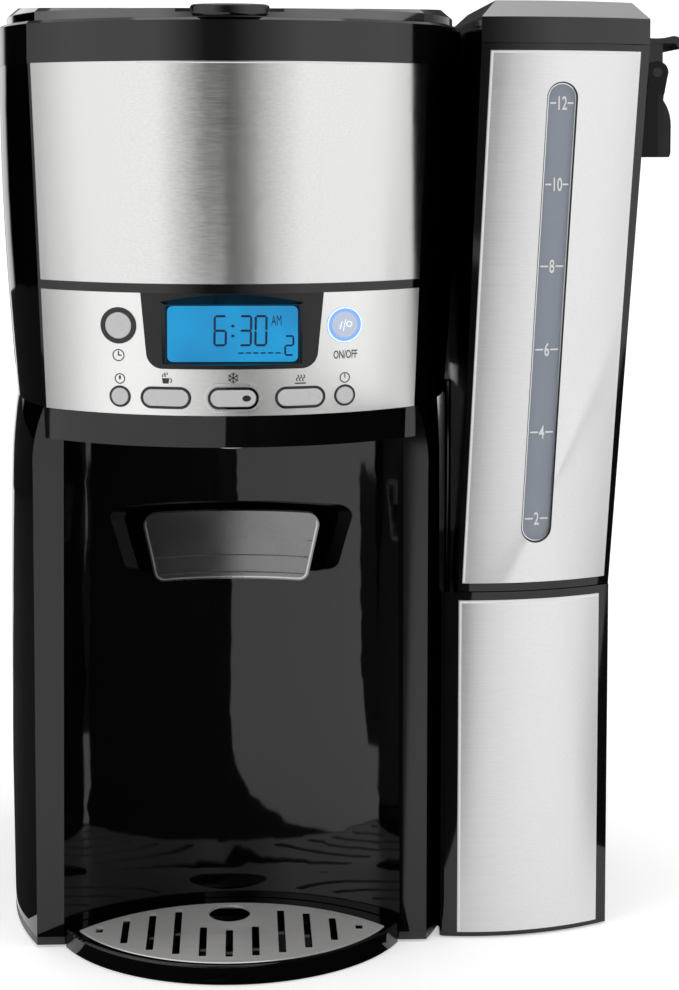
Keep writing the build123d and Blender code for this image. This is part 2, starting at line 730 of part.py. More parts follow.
with BuildPart() as lid:
    with BuildSketch(level(LID_BOTTOM)):
        add(body_plan(80.8, -127.2, -91.3, 10.0, 98.7))
        offset(amount=-3.6, kind=Kind.INTERSECTION)
        with Locations((0, LID_AXIS_Y - 4.4 + 50)):
            Rectangle(220, 100, mode=Mode.SUBTRACT)
    extrude(amount=LID_TOP - LID_BOTTOM)
    top_rim = lid.faces().sort_by(Axis.Z)[-1].outer_wire().edges()
    chamfer(top_rim.sort_by(Axis.Y)[:-1], length=6.6, length2=7.6)
    # The top rises gently from the front lip to the middle
    with BuildSketch(section(-120)):
        with BuildLine():
            Polyline((-140, LID_LIP - 0.9), (-122, LID_LIP), (0, LID_TOP - 0.5), (0, 400), (-140, 400), close=True)
        make_face()
    extrude(amount=240, mode=Mode.SUBTRACT)
    with BuildSketch(section(-120)):
        with BuildLine():
            Polyline((-2, LID_TOP - 0.5), (45, LID_TOP), (110, LID_TOP - 2.6), (110, 400), (-2, 400), close=True)
        make_face()
    extrude(amount=240, mode=Mode.SUBTRACT)
    # Underside is hollow over the basket, and the lip is notched each side of the tab
    with BuildSketch(level(LID_BOTTOM)):
        with Locations((0, BREW_Y)):
            Circle(64)
    extrude(amount=4.6, mode=Mode.SUBTRACT)
    with BuildSketch(level(LID_LIP - 1.4)):
        with Locations((0, -123)):
            Rectangle(42, 5)
    extrude(amount=8, mode=Mode.SUBTRACT)
    for hand in (-1, 1):
        with BuildSketch(section(hand * HINGE_X - 5)):
            with BuildLine():
                Polyline((LID_AXIS_Y, LID_AXIS_Z + 3.2), (94, LID_AXIS_Z + 3.2), (94, LID_BOTTOM))
                Line((94, LID_BOTTOM), (LID_AXIS_Y, LID_AXIS_Z - 3.2))
                CenterArc((LID_AXIS_Y, LID_AXIS_Z), 3.2, -90, 180)
            make_face()
        extrude(amount=10)
        with BuildSketch(section(hand * HINGE_X - 6)):
            with Locations((LID_AXIS_Y, LID_AXIS_Z)):
                Circle(LID_PIN_R + 0.05)
        extrude(amount=12, mode=Mode.SUBTRACT)
save(lid.part, "lid")

with BuildPart() as lid_tab:
    with BuildSketch(level(LID_BOTTOM + 0.3)):
        with Locations((0, -120.0)):
            Ellipse(15.4, 9.6)
    extrude(amount=4.6)
    fillet(lid_tab.edges().group_by(Axis.Z)[-1], 1.4)
    fillet(lid_tab.edges().group_by(Axis.Z)[0], 1.2)
    add(lid.part, mode=Mode.SUBTRACT)
save(lid_tab.part, "lid_tab")

# Brewing parts

with BuildPart() as brew_basket:
    with BuildSketch(level(364.0)):
        add(body_plan(80.8, -127.2, -91.3, 10.0, 98.7))
        offset(amount=-7.5, kind=Kind.INTERSECTION)
        with Locations((0, 95.4 + 50)):
            Rectangle(220, 100, mode=Mode.SUBTRACT)
    extrude(amount=2.0)
    with BuildSketch(Plane(origin=(BODY_X, BREW_Y, 0), x_dir=(1, 0, 0), z_dir=(0, -1, 0))):
        with BuildLine():
            Polyline((0, 307), (44, 307), (60, 366), (0, 366), close=True)
        make_face()
    revolve(axis=Axis((BODY_X, BREW_Y, 0), (0, 0, 1)))
    with BuildSketch(Plane(origin=(BODY_X, BREW_Y, 0), x_dir=(1, 0, 0), z_dir=(0, -1, 0))):
        with BuildLine():
            Polyline((0, 309), (42, 309), (58, 367), (0, 367), close=True)
        make_face()
    revolve(axis=Axis((BODY_X, BREW_Y, 0), (0, 0, 1)), mode=Mode.SUBTRACT)
    # Ribs hold the filter off the wall, and the middle of the floor drains
    with BuildSketch(level(309)):
        with Locations((0, BREW_Y)):
            with PolarLocations(34, 12):
                Rectangle(16, 1.6)
    extrude(amount=2.5)
    with BuildSketch(level(306)):
        with Locations((0, BREW_Y)):
            Circle(4)
    extrude(amount=6, mode=Mode.SUBTRACT)
save(brew_basket.part, "brew_basket")


def tank_plan(inset):
    with BuildSketch() as plan:
        with BuildLine():
            Polyline(
                (-72 + inset, -96 + inset),
                (72 - inset, -96 + inset),
                (72 - inset, 66 - inset),
                (-72 + inset, 66 - inset),
                close=True,
            )
        make_face()
        fillet(plan.vertices().group_by(Axis.Y)[0], 28 - inset)
        fillet(plan.vertices().group_by(Axis.Y)[-1], 12 - inset)
    return plan.sketch


with BuildPart() as coffee_tank:
    with BuildSketch(level(TANK_BOTTOM)):
        add(tank_plan(0))
    extrude(amount=TANK_TOP - TANK_BOTTOM)
    with BuildSketch(level(TANK_BOTTOM + 2.4)):
        add(tank_plan(2.2))
    extrude(amount=TANK_TOP, mode=Mode.SUBTRACT)
    fillet(coffee_tank.faces().sort_by(Axis.Z)[0].outer_wire().edges(), 1.6)
    with BuildSketch(level(TANK_BOTTOM + 1)):
        with Locations((0, INLET_Y)):
            Circle(8)
    extrude(amount=-5.2)
    with BuildSketch(level(TANK_BOTTOM + 4)):
        with Locations((0, INLET_Y)):
            Circle(3)
    extrude(amount=-12, mode=Mode.SUBTRACT)
save(coffee_tank.part, "coffee_tank")

with BuildPart() as tank_lid:
    with BuildSketch(level(TANK_TOP)):
        add(tank_plan(0))
        with Locations((0, BREW_Y)):
            Circle(7, mode=Mode.SUBTRACT)
    extrude(amount=2.4)
    with BuildSketch(level(TANK_TOP)):
        add(tank_plan(2.5))
        add(tank_plan(4.5), mode=Mode.SUBTRACT)
    extrude(amount=-4)
save(tank_lid.part, "tank_lid")

with BuildPart() as heater_deck:
    with BuildSketch(level(SEAM)):
        add(head_plan(SEAM, WALL + 0.2))
        with Locations((0, HEATER_Y)):
            Circle(42, mode=Mode.SUBTRACT)
        with Locations((-HEATER_HALF, 36), (HEATER_HALF, 36)):
            Rectangle(13, 64, mode=Mode.SUBTRACT)
        with Locations((0, -75)):
            Rectangle(34, 70, mode=Mode.SUBTRACT)
        with Locations((-HEATER_HALF, RISER_Y)):
            Circle(9, mode=Mode.SUBTRACT)
        with Locations((0, -122)):
            Rectangle(200, 26, mode=Mode.SUBTRACT)
    extrude(amount=1.8)
save(heater_deck.part, "heater_deck")

with BuildPart() as warming_plate:
    with BuildSketch(level(SEAM + 1.8)):
        with Locations((0, HEATER_Y)):
            Circle(50)
    extrude(amount=TANK_BOTTOM - 0.1 - SEAM - 1.8)
    chamfer(warming_plate.edges().group_by(Axis.Z)[-1], 1.0)
save(warming_plate.part, "warming_plate")

HEATER_Z = SEAM + 1.8 - 4.9
with BuildPart() as heater_element:
    with BuildLine() as loop:
        Line((BODY_X + HEATER_HALF, ELEMENT_END, HEATER_Z), (BODY_X + HEATER_HALF, HEATER_Y, HEATER_Z))
        ThreePointArc(
            (BODY_X + HEATER_HALF, HEATER_Y, HEATER_Z),
            (BODY_X, HEATER_Y - HEATER_HALF, HEATER_Z),
            (BODY_X - HEATER_HALF, HEATER_Y, HEATER_Z),
        )
        Line((BODY_X - HEATER_HALF, HEATER_Y, HEATER_Z), (BODY_X - HEATER_HALF, ELEMENT_END, HEATER_Z))
    with BuildSketch(Plane(origin=(BODY_X + HEATER_HALF, ELEMENT_END, HEATER_Z), z_dir=(0, -1, 0))):
        Circle(4.9)
    sweep()
save(heater_element.part, "heater_element")

with BuildPart() as thermostat:
    with BuildSketch(level(SEAM + 1.8)):
        with Locations((0, HEATER_Y)):
            Circle(9)
    extrude(amount=-7)
    with BuildSketch(level(SEAM - 5.2)):
        with Locations((-5, HEATER_Y), (5, HEATER_Y)):
            Rectangle(1.0, 4.5)
    extrude(amount=-7)
save(thermostat.part, "thermostat")


def tube(points, bend, radius):
    """Water tube along straight runs with round bends."""
    with BuildPart() as pipe:
        with BuildLine() as route:
            FilletPolyline(*[(BODY_X + x, y, z) for x, y, z in points], radius=bend)
        start = Vector(BODY_X + points[0][0], points[0][1], points[0][2])
        with BuildSketch(Plane(origin=start, z_dir=route.line % 0)):
            Circle(radius)
        sweep()
    return pipe.part


cold_route = (
    (RES_VALVE_X, FEED_Y, 126),
    (RES_VALVE_X, FEED_Y, INLET_Z),
    (HEATER_HALF, FEED_Y, INLET_Z),
    (HEATER_HALF, FEED_Y, CHECK_LOW),
)
heater_route = (
    (HEATER_HALF, FEED_Y, CHECK_HIGH),
    (HEATER_HALF, FEED_Y, HEATER_Z),
    (HEATER_HALF, ELEMENT_END, HEATER_Z),
)
with BuildPart() as inlet_tube:
    add(tube(cold_route, 10, TUBE_R))
    add(tube(heater_route, 7, TUBE_R))
save(inlet_tube.part, "inlet_tube")

with BuildPart() as check_valve:
    with BuildSketch(level(CHECK_LOW)):
        with Locations((HEATER_HALF, FEED_Y)):
            Circle(6)
    extrude(amount=CHECK_HIGH - CHECK_LOW)
    chamfer(check_valve.edges().group_by(Axis.Z)[0] + check_valve.edges().group_by(Axis.Z)[-1], 1.2)
save(check_valve.part, "check_valve")

hot_route = (
    (-HEATER_HALF, ELEMENT_END, HEATER_Z),
    (-HEATER_HALF, 60, HEATER_Z),
    (-HEATER_HALF, 60, 190),
    (-HEATER_HALF, RISER_Y, 190),
    (-HEATER_HALF, RISER_Y, HOT_Z),
    (-HEATER_HALF, 96.2, HOT_Z),
)
hot_water_tube = tube(hot_route, 9, TUBE_R)
save(hot_water_tube, "hot_water_tube")

with BuildPart() as shower_head:
    with BuildSketch(level(370.2)):
        with Locations((0, BREW_Y)):
            Circle(40)
    extrude(amount=LID_BOTTOM + 4.6 - 370.2)
    # Channel that brings the water from the rear of the collar
    with BuildSketch(level(372.6)):
        with Locations((-HEATER_HALF, 52)):
            Rectangle(12, 80)
    extrude(amount=LID_BOTTOM - 372.6)
    with BuildSketch(level(373.8)):
        with Locations((-HEATER_HALF, 52)):
            Rectangle(9.4, 82)
    extrude(amount=3, mode=Mode.SUBTRACT)
    with BuildSketch(level(372)):
        with Locations((0, BREW_Y)):
            Circle(38)
    extrude(amount=6, mode=Mode.SUBTRACT)
    with BuildSketch(level(369)):
        with Locations((0, BREW_Y)):
            for ring, count in ((10, 6), (21, 10), (32, 14)):
                with PolarLocations(ring, count):
                    Circle(1.3)
    extrude(amount=4, mode=Mode.SUBTRACT)
save(shower_head.part, "shower_head")

with BuildPart() as lid_hinge_pins:
    for hand in (-1, 1):
        with BuildSketch(section(hand * HINGE_X)):
            with Locations((LID_AXIS_Y, LID_AXIS_Z)):
                Circle(LID_PIN_R)
        extrude(amount=hand * 11)
        with BuildSketch(section(hand * HINGE_X)):
            with Locations((LID_AXIS_Y, LID_AXIS_Z)):
                Circle(LID_PIN_R)
        extrude(amount=-hand * 4.8)
save(lid_hinge_pins.part, "lid_hinge_pins")

with BuildPart() as power_board:
    with BuildSketch(facing(108)):
        with Locations((-18, 76)):
            Rectangle(84, 96)
    extrude(amount=1.6)
    with BuildSketch(facing(106.4)):
        with Locations((-40, 100)):
            Rectangle(28, 24)
        with Locations((-38, 50)):
            Rectangle(20, 16)
        with Locations((4, 58)):
            Circle(8)
    extrude(amount=18)
save(power_board.part, "power_board")

# Dispenser

with BuildPart() as dispenser_bar:
    with BuildSketch(level(PAD_BOTTOM - 2)):
        with Locations((0, PAD_CENTRE_Y)):
            Circle(PAD_RADIUS + 4.0)
            Circle(PAD_RADIUS, mode=Mode.SUBTRACT)
        with Locations((0, -60)):
            Rectangle(90, 60, mode=Mode.INTERSECT)
    extrude(amount=PAD_TOP - PAD_BOTTOM + 4)
    with BuildSketch(facing(-40)) as pad_outline:
        with BuildLine():
            Polyline((-37.2, PAD_TOP), (37.2, PAD_TOP), (31.2, PAD_BOTTOM), (-31.2, PAD_BOTTOM), close=True)
        make_face()
        fillet(pad_outline.vertices(), 4.5)
    extrude(amount=60, mode=Mode.INTERSECT)
    # The face is sunk inside a rim, in three bands that step back from each other
    for low, high, depth in ((151.2, 158.2, 1.0), (158.2, 165.4, 1.9), (165.4, 174.2, 1.0)):
        with BuildSketch(level(low)):
            with Locations((0, PAD_CENTRE_Y)):
                Circle(PAD_RADIUS + depth)
                Circle(PAD_RADIUS - 3, mode=Mode.SUBTRACT)
            with Locations((0, -60)):
                width = 2 * (28.6 + (low + high - 2 * PAD_BOTTOM) / 2 * 0.21)
                Rectangle(width, 60, mode=Mode.INTERSECT)
        extrude(amount=high - low, mode=Mode.SUBTRACT)
    with BuildSketch(section(-8)):
        with BuildLine():
            Polyline((-66.6, 158), (-66.6, 170), (-49, 170), (-49, 158), close=True)
        make_face()
    extrude(amount=16)
    with BuildSketch(section(-7)):
        with BuildLine():
            Polyline((-49, 158), (-49, 214), (-54.1, 218), (-54.1, 224), (-44.5, 224), (-43, 158), close=True)
        make_face()
        with Locations((PIVOT_Y, PIVOT_Z)):
            Circle(6)
    extrude(amount=11)
    with BuildSketch(section(-8)):
        with Locations((PIVOT_Y, PIVOT_Z)):
            Circle(2.05)
    extrude(amount=16, mode=Mode.SUBTRACT)
save(dispenser_bar.part, "dispenser_bar")

with BuildPart() as dispenser_pin:
    with BuildSketch(section(-13)):
        with Locations((PIVOT_Y, PIVOT_Z)):
            Circle(2.0)
    extrude(amount=26)
save(dispenser_pin.part, "dispenser_pin")

with BuildPart() as valve_block:
    with BuildSketch(level(HOOD_FLOOR)):
        with Locations((0, -83)):
            RectangleRounded(24, 42, 3)
    extrude(amount=229.0 - HOOD_FLOOR)
    with BuildSketch(level(HOOD_FLOOR)):
        with Locations((0, OUTLET_Y)):
            Circle(5.0)
    extrude(amount=206.8 - HOOD_FLOOR)
    with BuildSketch(level(225.5)):
        with Locations((0, INLET_Y)):
            Circle(8.2)
    extrude(amount=6, mode=Mode.SUBTRACT)
    with BuildSketch(level(VALVE_Z)):
        with Locations((0, INLET_Y)):
            Circle(2.5)
    extrude(amount=6, mode=Mode.SUBTRACT)
    with BuildSketch(level(VALVE_Z)):
        with Locations((0, OUTLET_Y)):
            Circle(2.5)
    extrude(amount=-20, mode=Mode.SUBTRACT)
    with BuildSketch(facing(-60)):
        with Locations((0, VALVE_Z)):
            Circle(3.0)
    extrude(amount=41.5, mode=Mode.SUBTRACT)
save(valve_block.part, "valve_block")

with BuildPart() as valve_plunger:
    with BuildSketch(section(0)):
        with BuildLine():
            Polyline(
                (-97, VALVE_Z),
                (-97, VALVE_Z + 2.95),
                (-88.5, VALVE_Z + 2.95),
                (-88.5, VALVE_Z + 1.6),
                (-74, VALVE_Z + 1.6),
                (-74, VALVE_Z + 2.95),
                (-54.5, VALVE_Z + 2.95),
                (-54.5, VALVE_Z),
                close=True,
            )
        make_face()
    revolve(axis=Axis((BODY_X, 0, VALVE_Z), (0, 1, 0)))
save(valve_plunger.part, "valve_plunger")

with BuildPart() as dispenser_spring:
    with BuildLine() as coil:
        Helix(pitch=1.0, height=2.0, radius=3.4, center=(BODY_X + 5.0, PIVOT_Y, PIVOT_Z), direction=(1, 0, 0))
    with BuildSketch(Plane(origin=coil.line @ 0, z_dir=coil.line % 0)):
        Circle(0.4)
    sweep()
save(dispenser_spring.part, "dispenser_spring")


# Dock and reservoir


def lean_share(z):
    return (z - RES_BOTTOM) / (RES_TOP - RES_BOTTOM)


def box_with_arc_front(left, right, back, arc_x, arc_y, radius):
    """Plan with a convex front, straight sides and round rear corners."""
    with BuildSketch() as plan:
        with Locations((arc_x, arc_y)):
            Circle(radius)
        with Locations(((left + right) / 2, (back - 160) / 2)):
            Rectangle(right - left, back + 160, mode=Mode.INTERSECT)
        fillet(plan.vertices().group_by(Axis.Y)[-1], 10)
    return plan.sketch


def reservoir_plan(z, front=0.0, inset=0.0):
    share = lean_share(z)
    return box_with_arc_front(
        between(RES_LEFT_LOW, RES_LEFT_HIGH, share) + inset,
        between(RES_RIGHT_LOW, RES_RIGHT_HIGH, share) - inset,
        between(DOCK_BACK, RES_BACK_HIGH, share) - inset,
        SIDE_ARC_X + LEAN_X * share,
        SIDE_ARC_Y + LEAN_Y * share,
        SIDE_ARC_R - front - inset,
    )


def front_strip(share, left, right, outside, inside):
    """Strip that follows the side unit's front arc."""
    with BuildSketch() as strip:
        with Locations((SIDE_ARC_X + LEAN_X * share, SIDE_ARC_Y + LEAN_Y * share)):
            Circle(SIDE_ARC_R + outside)
            Circle(SIDE_ARC_R - inside, mode=Mode.SUBTRACT)
        with Locations(((left + right) / 2, -80)):
            Rectangle(right - left, 100, mode=Mode.INTERSECT)
    return strip.sketch


with BuildPart() as dock_panel:
    with BuildSketch(level(2.7)):
        add(front_strip(0, 93.1, 153.0, 0.3, 1.0))
    extrude(amount=142.2 - 2.7)
save(dock_panel.part, "dock_panel")

with BuildPart() as dock_housing:
    with BuildSketch(level(0.8)):
        add(box_with_arc_front(DOCK_SIDE, DOCK_RIGHT, DOCK_BACK, SIDE_ARC_X, SIDE_ARC_Y, SIDE_ARC_R))
    extrude(amount=DOCK_TOP - 0.8)
    fillet(dock_housing.edges().filter_by(Axis.Z).group_by(Axis.Y)[0], 2.0)
    with BuildSketch(level(0)):
        add(
            box_with_arc_front(
                DOCK_SIDE + WALL,
                DOCK_RIGHT - WALL,
                DOCK_BACK - WALL,
                SIDE_ARC_X,
                SIDE_ARC_Y,
                SIDE_ARC_R - 2 * WALL,
            )
        )
    extrude(amount=DOCK_TOP - WALL, mode=Mode.SUBTRACT)
    add(dock_panel.part, mode=Mode.SUBTRACT)
    with BuildSketch(level(DOCK_TOP)):
        with Locations((RES_VALVE_X, FEED_Y)):
            Circle(13.0)
    extrude(amount=-10, mode=Mode.SUBTRACT)
    # Doorway for the base's bridge and hole for the inlet tube
    with BuildSketch(level(0)):
        with Locations((DOCK_SIDE + 1, -7.5)):
            Rectangle(8, 125.2)
    extrude(amount=BASE_TOP, mode=Mode.SUBTRACT)
    with BuildSketch(section(DOCK_SIDE - 2)):
        with Locations((FEED_Y, INLET_Z)):
            Circle(6)
    extrude(amount=8, mode=Mode.SUBTRACT)
    # Post that steadies the reservoir beside the brewing body
    with BuildSketch(level(DOCK_TOP)):
        with Locations((91.0, -55)):
            RectangleRounded(2.6, 10, 1.0)
    extrude(amount=229.6 - DOCK_TOP)
save(dock_housing.part, "dock_housing")

with BuildPart() as dock_seat:
    with BuildSketch(Plane(origin=(BODY_X + RES_VALVE_X, FEED_Y, 0), x_dir=(1, 0, 0), z_dir=(0, -1, 0))):
        with BuildLine():
            Polyline(
                (2, 126), (4, 126), (4, 132), (13, 134), (13, 143), (11.4, 143), (11.4, 135.6), (2, 134), close=True
            )
        make_face()
    revolve(axis=Axis((BODY_X + RES_VALVE_X, FEED_Y, 0), (0, 0, 1)))
save(dock_seat.part, "dock_seat")


def gauge_slot(width):
    run = (GAUGE_HIGH[0] - GAUGE_LOW[0], GAUGE_HIGH[1] - GAUGE_LOW[1])
    with BuildSketch() as slot:
        with Locations(((GAUGE_LOW[0] + GAUGE_HIGH[0]) / 2, (GAUGE_LOW[1] + GAUGE_HIGH[1]) / 2)):
            SlotCenterToCenter(hypot(*run), width, rotation=degrees(atan2(run[1], run[0])))
    return slot.sketch


with BuildPart() as panel_sheet:
    for z, left, right in ((149.3, 94.5, 155.2), (366.3, 103.4, 166.0)):
        with BuildSketch(level(z)):
            add(front_strip(lean_share(z), left, right, 0.3, 1.0))
    loft()

with BuildPart() as reservoir_panel:
    add(panel_sheet.part)
    with BuildSketch(facing(-40)):
        add(gauge_slot(GAUGE_WIDTH))
    extrude(amount=80, mode=Mode.SUBTRACT)
save(reservoir_panel.part, "reservoir_panel")

with BuildPart() as reservoir_frame:
    for z in (RES_BOTTOM, RES_TOP):
        share = lean_share(z)
        left = between(RES_LEFT_LOW, RES_LEFT_HIGH, share)
        right = between(RES_RIGHT_LOW, RES_RIGHT_HIGH, share)
        with BuildSketch(level(z)):
            add(front_strip(share, left, right, 0, RES_SKIN))
    loft()
    add(panel_sheet.part, mode=Mode.SUBTRACT)
    with BuildSketch(facing(-40)):
        add(gauge_slot(GAUGE_WIDTH))
    extrude(amount=80, mode=Mode.SUBTRACT)
save(reservoir_frame.part, "reservoir_frame")

with BuildPart() as gauge_window:
    for z in (160, 360):
        with BuildSketch(level(z)):
            add(front_strip(lean_share(z), 110, 150, -1.4, 2.8))
    loft()
    with BuildSketch(facing(-40)):
        add(gauge_slot(GAUGE_WIDTH))
    extrude(amount=80, mode=Mode.INTERSECT)
save(gauge_window.part, "gauge_window")

with BuildPart() as reservoir_tank:
    for z in (RES_BOTTOM, RES_TOP):
        with BuildSketch(level(z)):
            add(reservoir_plan(z, RES_SKIN))
    loft()
    for z in (RES_BOTTOM + 3, RES_TOP + 1):
        with BuildSketch(level(z)):
            add(reservoir_plan(z, RES_SKIN, 2.4))
    loft(mode=Mode.SUBTRACT)
    with BuildSketch(level(RES_BOTTOM - 1)):
        with Locations((RES_VALVE_X, FEED_Y)):
            Circle(9.0)
    extrude(amount=6, mode=Mode.SUBTRACT)
save(reservoir_tank.part, "reservoir_tank")

with BuildPart() as reservoir_valve:
    with BuildSketch(Plane(origin=(BODY_X + RES_VALVE_X, FEED_Y, 0), x_dir=(1, 0, 0), z_dir=(0, -1, 0))):
        with BuildLine():
            Polyline((3, 139), (9, 139), (9, 148.9), (11, 148.9), (11, 151), (3, 151), close=True)
        make_face()
        with BuildLine():
            Polyline((0, 137.5), (1.8, 137.5), (1.8, 151), (5.5, 151), (5.5, 153), (0, 153), close=True)
        make_face()
    revolve(axis=Axis((BODY_X + RES_VALVE_X, FEED_Y, 0), (0, 0, 1)))
save(reservoir_valve.part, "reservoir_valve")

with BuildPart() as valve_seal:
    with BuildSketch(level(140.5)):
        with Locations((RES_VALVE_X, FEED_Y)):
            Circle(10.6)
            Circle(9.0, mode=Mode.SUBTRACT)
    extrude(amount=3)
    chamfer(valve_seal.edges().group_by(Axis.Z)[0], 0.5)
save(valve_seal.part, "valve_seal")

with BuildPart() as reservoir_grip:
    grip_length = GRIP_BACK - GRIP_FRONT
    with BuildSketch(facing(GRIP_BACK)):
        with BuildLine():
            Polyline((166, 323.3), (187.4, 323.3), (188.7, 325.5), (188.7, 335))
            ThreePointArc((188.7, 335), (187.3, 342), (184.2, 347.5))
            Polyline((184.2, 347.5), (184.6, 352), (177, 352), (177, 346), (167, 344), (166, 323.3))
        make_face()
    extrude(amount=grip_length)
    with BuildSketch(level(320)):
        with Locations((144.35, (GRIP_FRONT + GRIP_BACK) / 2)):
            RectangleRounded(88.7, grip_length, 7)
    extrude(amount=40, mode=Mode.INTERSECT)
    with BuildSketch(facing(GRIP_BACK - 2.4)):
        with BuildLine():
            Polyline((166, 320), (186.2, 320), (186.2, 335))
            ThreePointArc((186.2, 335), (184.6, 340), (182, 342.2))
            Polyline((182, 342.2), (166, 342.2), (166, 320))
        make_face()
    extrude(amount=grip_length - 4.8, mode=Mode.SUBTRACT)
    for back in (GRIP_BACK, GRIP_FRONT + 8):
        with BuildSketch(facing(back)):
            with Locations((RES_AXIS_X, RES_AXIS_Z)):
                Circle(4.7)
            with BuildLine():
                Polyline((177, 350), (184.5, 350), (186.1, 359), (178, 359), close=True)
            make_face()
            with Locations((RES_AXIS_X, RES_AXIS_Z)):
                Circle(2.0, mode=Mode.SUBTRACT)
        extrude(amount=8)
    # The tank's drafted side wall bounds the grip
    for z in (RES_BOTTOM, RES_TOP):
        with BuildSketch(level(z)):
            add(reservoir_plan(z))
    loft(mode=Mode.SUBTRACT)
    with BuildSketch(level(300)):
        with Locations((150, 0)):
            Rectangle(36, 160)
    extrude(amount=80, mode=Mode.SUBTRACT)
save(reservoir_grip.part, "reservoir_grip")

with BuildPart() as reservoir_lid_pin:
    with BuildSketch(facing(GRIP_BACK)):
        with Locations((RES_AXIS_X, RES_AXIS_Z)):
            Circle(2.0)
    extrude(amount=GRIP_BACK - GRIP_FRONT)
save(reservoir_lid_pin.part, "reservoir_lid_pin")

RIM_Z, BEVEL_Z, CROWN_Z = 369.3, 379.6, 387.6


def crown_plan(inset=0.0):
    """Top of the reservoir lid: bevelled far back in front, less at the left and little at the right."""
    return box_with_arc_front(
        RES_LEFT_HIGH + 8.5 + inset,
        RES_RIGHT_HIGH - 3.2 - inset,
        RES_BACK_HIGH - 9 - inset,
        SIDE_ARC_X + LEAN_X,
        SIDE_ARC_Y + LEAN_Y + 27,
        SIDE_ARC_R - inset,
    )


with BuildPart() as reservoir_lid:
    with BuildSketch(level(RIM_Z)):
        add(reservoir_plan(RES_TOP))
    extrude(amount=BEVEL_Z - RIM_Z)
    with BuildSketch(level(BEVEL_Z)):
        add(reservoir_plan(RES_TOP))
    with BuildSketch(level(CROWN_Z)):
        add(crown_plan())
    loft(ruled=True)
    with BuildSketch(level(RIM_Z)):
        add(reservoir_plan(RES_TOP, 0, 2.4))
    extrude(amount=BEVEL_Z - 1.5 - RIM_Z, mode=Mode.SUBTRACT)
    with BuildSketch(level(BEVEL_Z - 1.5)):
        add(reservoir_plan(RES_TOP, 0, 2.4))
    with BuildSketch(level(CROWN_Z - 2.4)):
        add(crown_plan(1.5))
    loft(ruled=True, mode=Mode.SUBTRACT)
    # Skirt that locates the lid in the tank; it stops short of the hinge side, so it can swing out
    for low, high, outer in ((RIM_Z, RIM_Z + 1.6, 2.0), (RIM_Z - 2.8, RIM_Z + 1.6, 7.2)):
        with BuildSketch(level(low)):
            add(reservoir_plan(RES_TOP, 0, outer))
            add(reservoir_plan(RES_TOP, 0, 8.6), mode=Mode.SUBTRACT)
            if low < RIM_Z:
                with Locations((RES_RIGHT_HIGH, 0)):
                    Rectangle(15, 240, mode=Mode.SUBTRACT)
        extrude(amount=high - low)
    # Thumb tab, dished on top and turned down at its end
    with BuildSketch(facing(30)):
        with BuildLine():
            Polyline((169.8, 374.9), (174, 374.9))
            ThreePointArc((174, 374.9), (181, 373.9), (188.4, 374.9))
            ThreePointArc((188.4, 374.9), (191.4, 374.2), (193.2, 371.4))
            Polyline((193.2, 371.4), (192.8, 369.6), (191.2, 369.6), (189.6, 371.8), (169.8, 371.8), (169.8, 374.9))
        make_face()
    extrude(amount=68)
    with BuildSketch(facing(26.4)):
        with Locations((RES_AXIS_X, RES_AXIS_Z)):
            Circle(4.3)
        with BuildLine():
            Polyline((177.6, 360), (177.2, 373), (185.2, 373), (185.4, 360), close=True)
        make_face()
        with Locations((RES_AXIS_X, RES_AXIS_Z)):
            Circle(2.05, mode=Mode.SUBTRACT)
    extrude(amount=58.8)
save(reservoir_lid.part, "reservoir_lid")
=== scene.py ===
"""Looks of the coffee maker: brushed steel and gloss black plastic, a lit display, scale and controls."""
import math

import bmesh
import bpy
from mathutils import Matrix, Vector


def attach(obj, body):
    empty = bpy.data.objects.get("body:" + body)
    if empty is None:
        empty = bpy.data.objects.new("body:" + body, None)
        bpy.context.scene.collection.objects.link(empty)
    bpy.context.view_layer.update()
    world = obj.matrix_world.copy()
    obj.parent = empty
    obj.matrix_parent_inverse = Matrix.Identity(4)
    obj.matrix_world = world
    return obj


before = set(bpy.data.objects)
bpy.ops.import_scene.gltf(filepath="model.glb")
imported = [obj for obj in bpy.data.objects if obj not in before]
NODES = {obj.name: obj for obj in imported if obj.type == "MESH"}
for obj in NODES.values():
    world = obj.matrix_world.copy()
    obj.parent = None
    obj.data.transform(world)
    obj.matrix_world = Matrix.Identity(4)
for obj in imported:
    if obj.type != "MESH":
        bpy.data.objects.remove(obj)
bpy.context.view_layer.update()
BODY_X = -0.0468


def at(x, y, z):
    """Place in metres from millimetres about the middle of the brewing body."""
    return Vector((BODY_X + x / 1000, y / 1000, z / 1000))


# Materials


